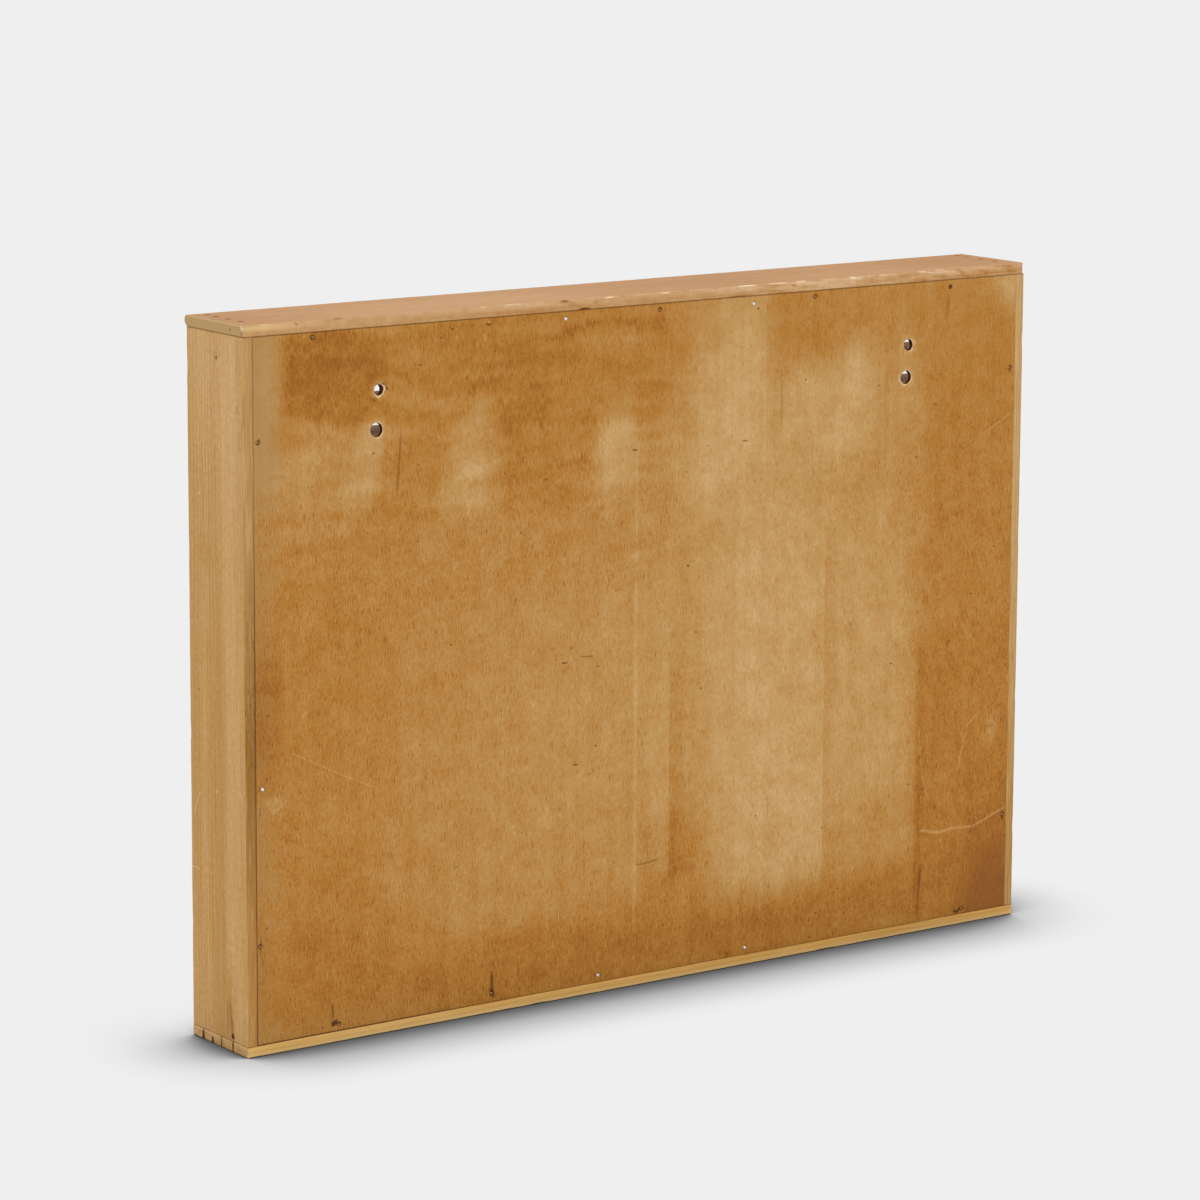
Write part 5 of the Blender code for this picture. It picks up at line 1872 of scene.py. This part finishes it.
def bright_nail_paint():
    p = Paint("bright_nail_head", metallic=0.9, specular=0.5)
    cloud = p.noise((p.x, 0.9), (p.y, 0.9), (p.z, 0.9), 3.0, 0.6)
    pits = p.noise((p.x, 4.5), (p.y, 4.5), (p.z, 4.5), 2.0, 0.6)
    colour = p.ramp(
        cloud,
        [
            (0.30, srgb(222, 216, 208)),
            (0.55, srgb(240, 238, 234)),
            (0.75, srgb(248, 247, 245)),
        ],
    )
    colour = p.blend(p.ease(pits, 0.66, 0.78, 0.0, 0.5), colour, srgb(168, 150, 130))
    rough = p.ease(cloud, 0.3, 0.7, 0.28, 0.42)
    return p.finish(colour, rough, p.plus(p.times(cloud, 0.6), p.times(pits, 0.4)), 0.35, 0.00012)


def dress(obj, material):
    obj.data.materials.clear()
    obj.data.materials.append(material)
    for face in obj.data.polygons:
        face.material_index = 0


def dress_node(obj, material):
    """Puts a material on a CAD node through its object, which leaves the node's mesh as packed."""
    if not obj.material_slots:
        obj.data.materials.append(material)
    for slot in obj.material_slots:
        slot.link = "OBJECT"
        slot.material = material


for piece, node, slot, paint in (
    (panel, "back_panel", "panel_ply", panel_paint()),
    (top_skin, "top_board", "top_wood", top_paint()),
    (bottom_skin, "bottom_board", "bottom_wood", bottom_paint()),
    (side_right, "side_right", "side_wood", side_paint(1, 3.0)),
    (side_left, "side_left", "side_wood", side_paint(-1, 57.0)),
):
    dress(piece, paint)
    soften(piece)
    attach(piece, "root")
    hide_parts(node)

DULL, SHINY, RUSTY = dark_nail_paint(), bright_nail_paint(), t_nail_paint()
for piece, node, bright in nail_pieces:
    dress(piece, SHINY if bright else DULL)
    soften(piece, 50)
    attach(piece, "root")
    if node:
        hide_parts(node)


def ease_edges(obj, width, segments=2):
    """Rounds a CAD node's sharp edges without touching its mesh."""
    weld = obj.modifiers.new("weld", "WELD")
    weld.merge_threshold = 1e-6
    flat = obj.modifiers.new("join flat faces", "DECIMATE")
    flat.decimate_type = "DISSOLVE"
    flat.angle_limit = math.radians(0.5)
    bevel = obj.modifiers.new("eased edges", "BEVEL")
    bevel.width = width * MM
    bevel.segments = segments
    bevel.limit_method = "ANGLE"
    bevel.angle_limit = math.radians(40)
    bevel.harden_normals = True


slat_wood = strip_paint("slat_pine", "x", 5.0, (FIRST_FLOOR - SLAT / 2, PITCH))
divider_wood = strip_paint("divider_pine", "z", 33.0, (-173.25, 115.5), 0.04)
rail_wood = strip_paint("rail_pine", "x", 71.0, (9.95, 419.8), 0.02)
for name, obj in NODES.items():
    if name.startswith("slat_"):
        dress_node(obj, slat_wood)
        ease_edges(obj, 0.35)
    elif name.startswith("divider_"):
        dress_node(obj, divider_wood)
        ease_edges(obj, 0.35)
    elif name in ("top_rail", "bottom_rail"):
        dress_node(obj, rail_wood)
        ease_edges(obj, 0.35)
    elif name.startswith(("top_nail", "bottom_nail")):
        dress_node(obj, RUSTY)
        ease_edges(obj, 0.18)


# ============================================================ stage and light
def disc(name, radius, z, count=96):
    bm = bmesh.new()
    ring = [
        bm.verts.new((radius * math.cos(2 * math.pi * k / count), radius * math.sin(2 * math.pi * k / count), z))
        for k in range(count)
    ]
    bm.faces.new(ring)
    return as_object(name, bm)


FLOOR_WHITE = 0.863
floor = disc("floor", 24.0, -0.0002)
floor_material = bpy.data.materials.new("glowing_floor_painted_shadow")
floor_material.use_nodes = True
n = Nodes(floor_material.node_tree)
n.tree.nodes.clear()
# painted shadow: the floor glows rather than being lit, an even white that steps down to a painted contact shadow by
# the ambient occlusion within 85 mm of the box
closeness = n.add("AmbientOcclusion", samples=64, only_local=False)
closeness.inputs["Distance"].default_value = 0.085
painted_floor_shadow = n.ramp(
    closeness.outputs["AO"],
    [
        (0.0, (0.0, 0.0, 0.0, 1)),
        (0.43, (0.01, 0.01, 0.01, 1)),
        (0.522, (0.125, 0.125, 0.126, 1)),
        (0.619, (0.304, 0.304, 0.306, 1)),
        (0.684, (0.450, 0.450, 0.452, 1)),
        (0.761, (0.580, 0.580, 0.582, 1)),
        (0.875, (0.742, 0.742, 0.744, 1)),
        (0.939, (0.820, 0.820, 0.821, 1)),
        (1.0, (FLOOR_WHITE,) * 3 + (1,)),
    ],
)
glow = n.add("Emission")
n.feed(glow.inputs["Color"], painted_floor_shadow)
out = n.add("OutputMaterial")
n.feed(out.inputs["Surface"], glow.outputs[0])
dress(floor, floor_material)

world = bpy.data.worlds.new("studio")
bpy.context.scene.world = world
world.use_nodes = True
background = world.node_tree.nodes["Background"]
background.inputs["Color"].default_value = (FLOOR_WHITE,) * 3 + (1,)
background.inputs["Strength"].default_value = 0.72


def lamp(name, towards, strength, angle):
    """A broad soft light shining along a direction."""
    data = bpy.data.lights.new(name, "SUN")
    data.energy = strength
    data.angle = math.radians(angle)
    obj = bpy.data.objects.new(name, data)
    bpy.context.scene.collection.objects.link(obj)
    obj.rotation_mode = "QUATERNION"
    obj.rotation_quaternion = Vector(towards).to_track_quat("-Z", "Y")
    return obj


lamp("key", (-0.506, -0.504, -0.70), 1.71, 50)
lamp("fill", (0.45, 0.80, -0.55), 0.55, 70)

camera = bpy.data.cameras.new("camera")
camera.sensor_fit = "HORIZONTAL"
camera.sensor_width = 36.0
camera.lens = 134.64
camera.shift_x = 0.0
camera.shift_y = -0.1
camera.clip_start, camera.clip_end = 0.05, 100.0
eye = bpy.data.objects.new("camera", camera)
bpy.context.scene.collection.objects.link(eye)
ahead = Vector((-0.57509, -0.80238, -0.15955)).normalized()
up = Vector((-0.08911, -0.13243, 0.98718))
right = ahead.cross(up).normalized()
up = right.cross(ahead).normalized()
eye.matrix_world = Matrix.Translation((1.63579, 2.25549, 0.76814)) @ Matrix(
    (
        (right.x, up.x, -ahead.x, 0),
        (right.y, up.y, -ahead.y, 0),
        (right.z, up.z, -ahead.z, 0),
        (0, 0, 0, 1),
    )
)
bpy.context.scene.camera = eye
bpy.context.scene.view_settings.view_transform = "Standard"

bpy.context.view_layer.update()
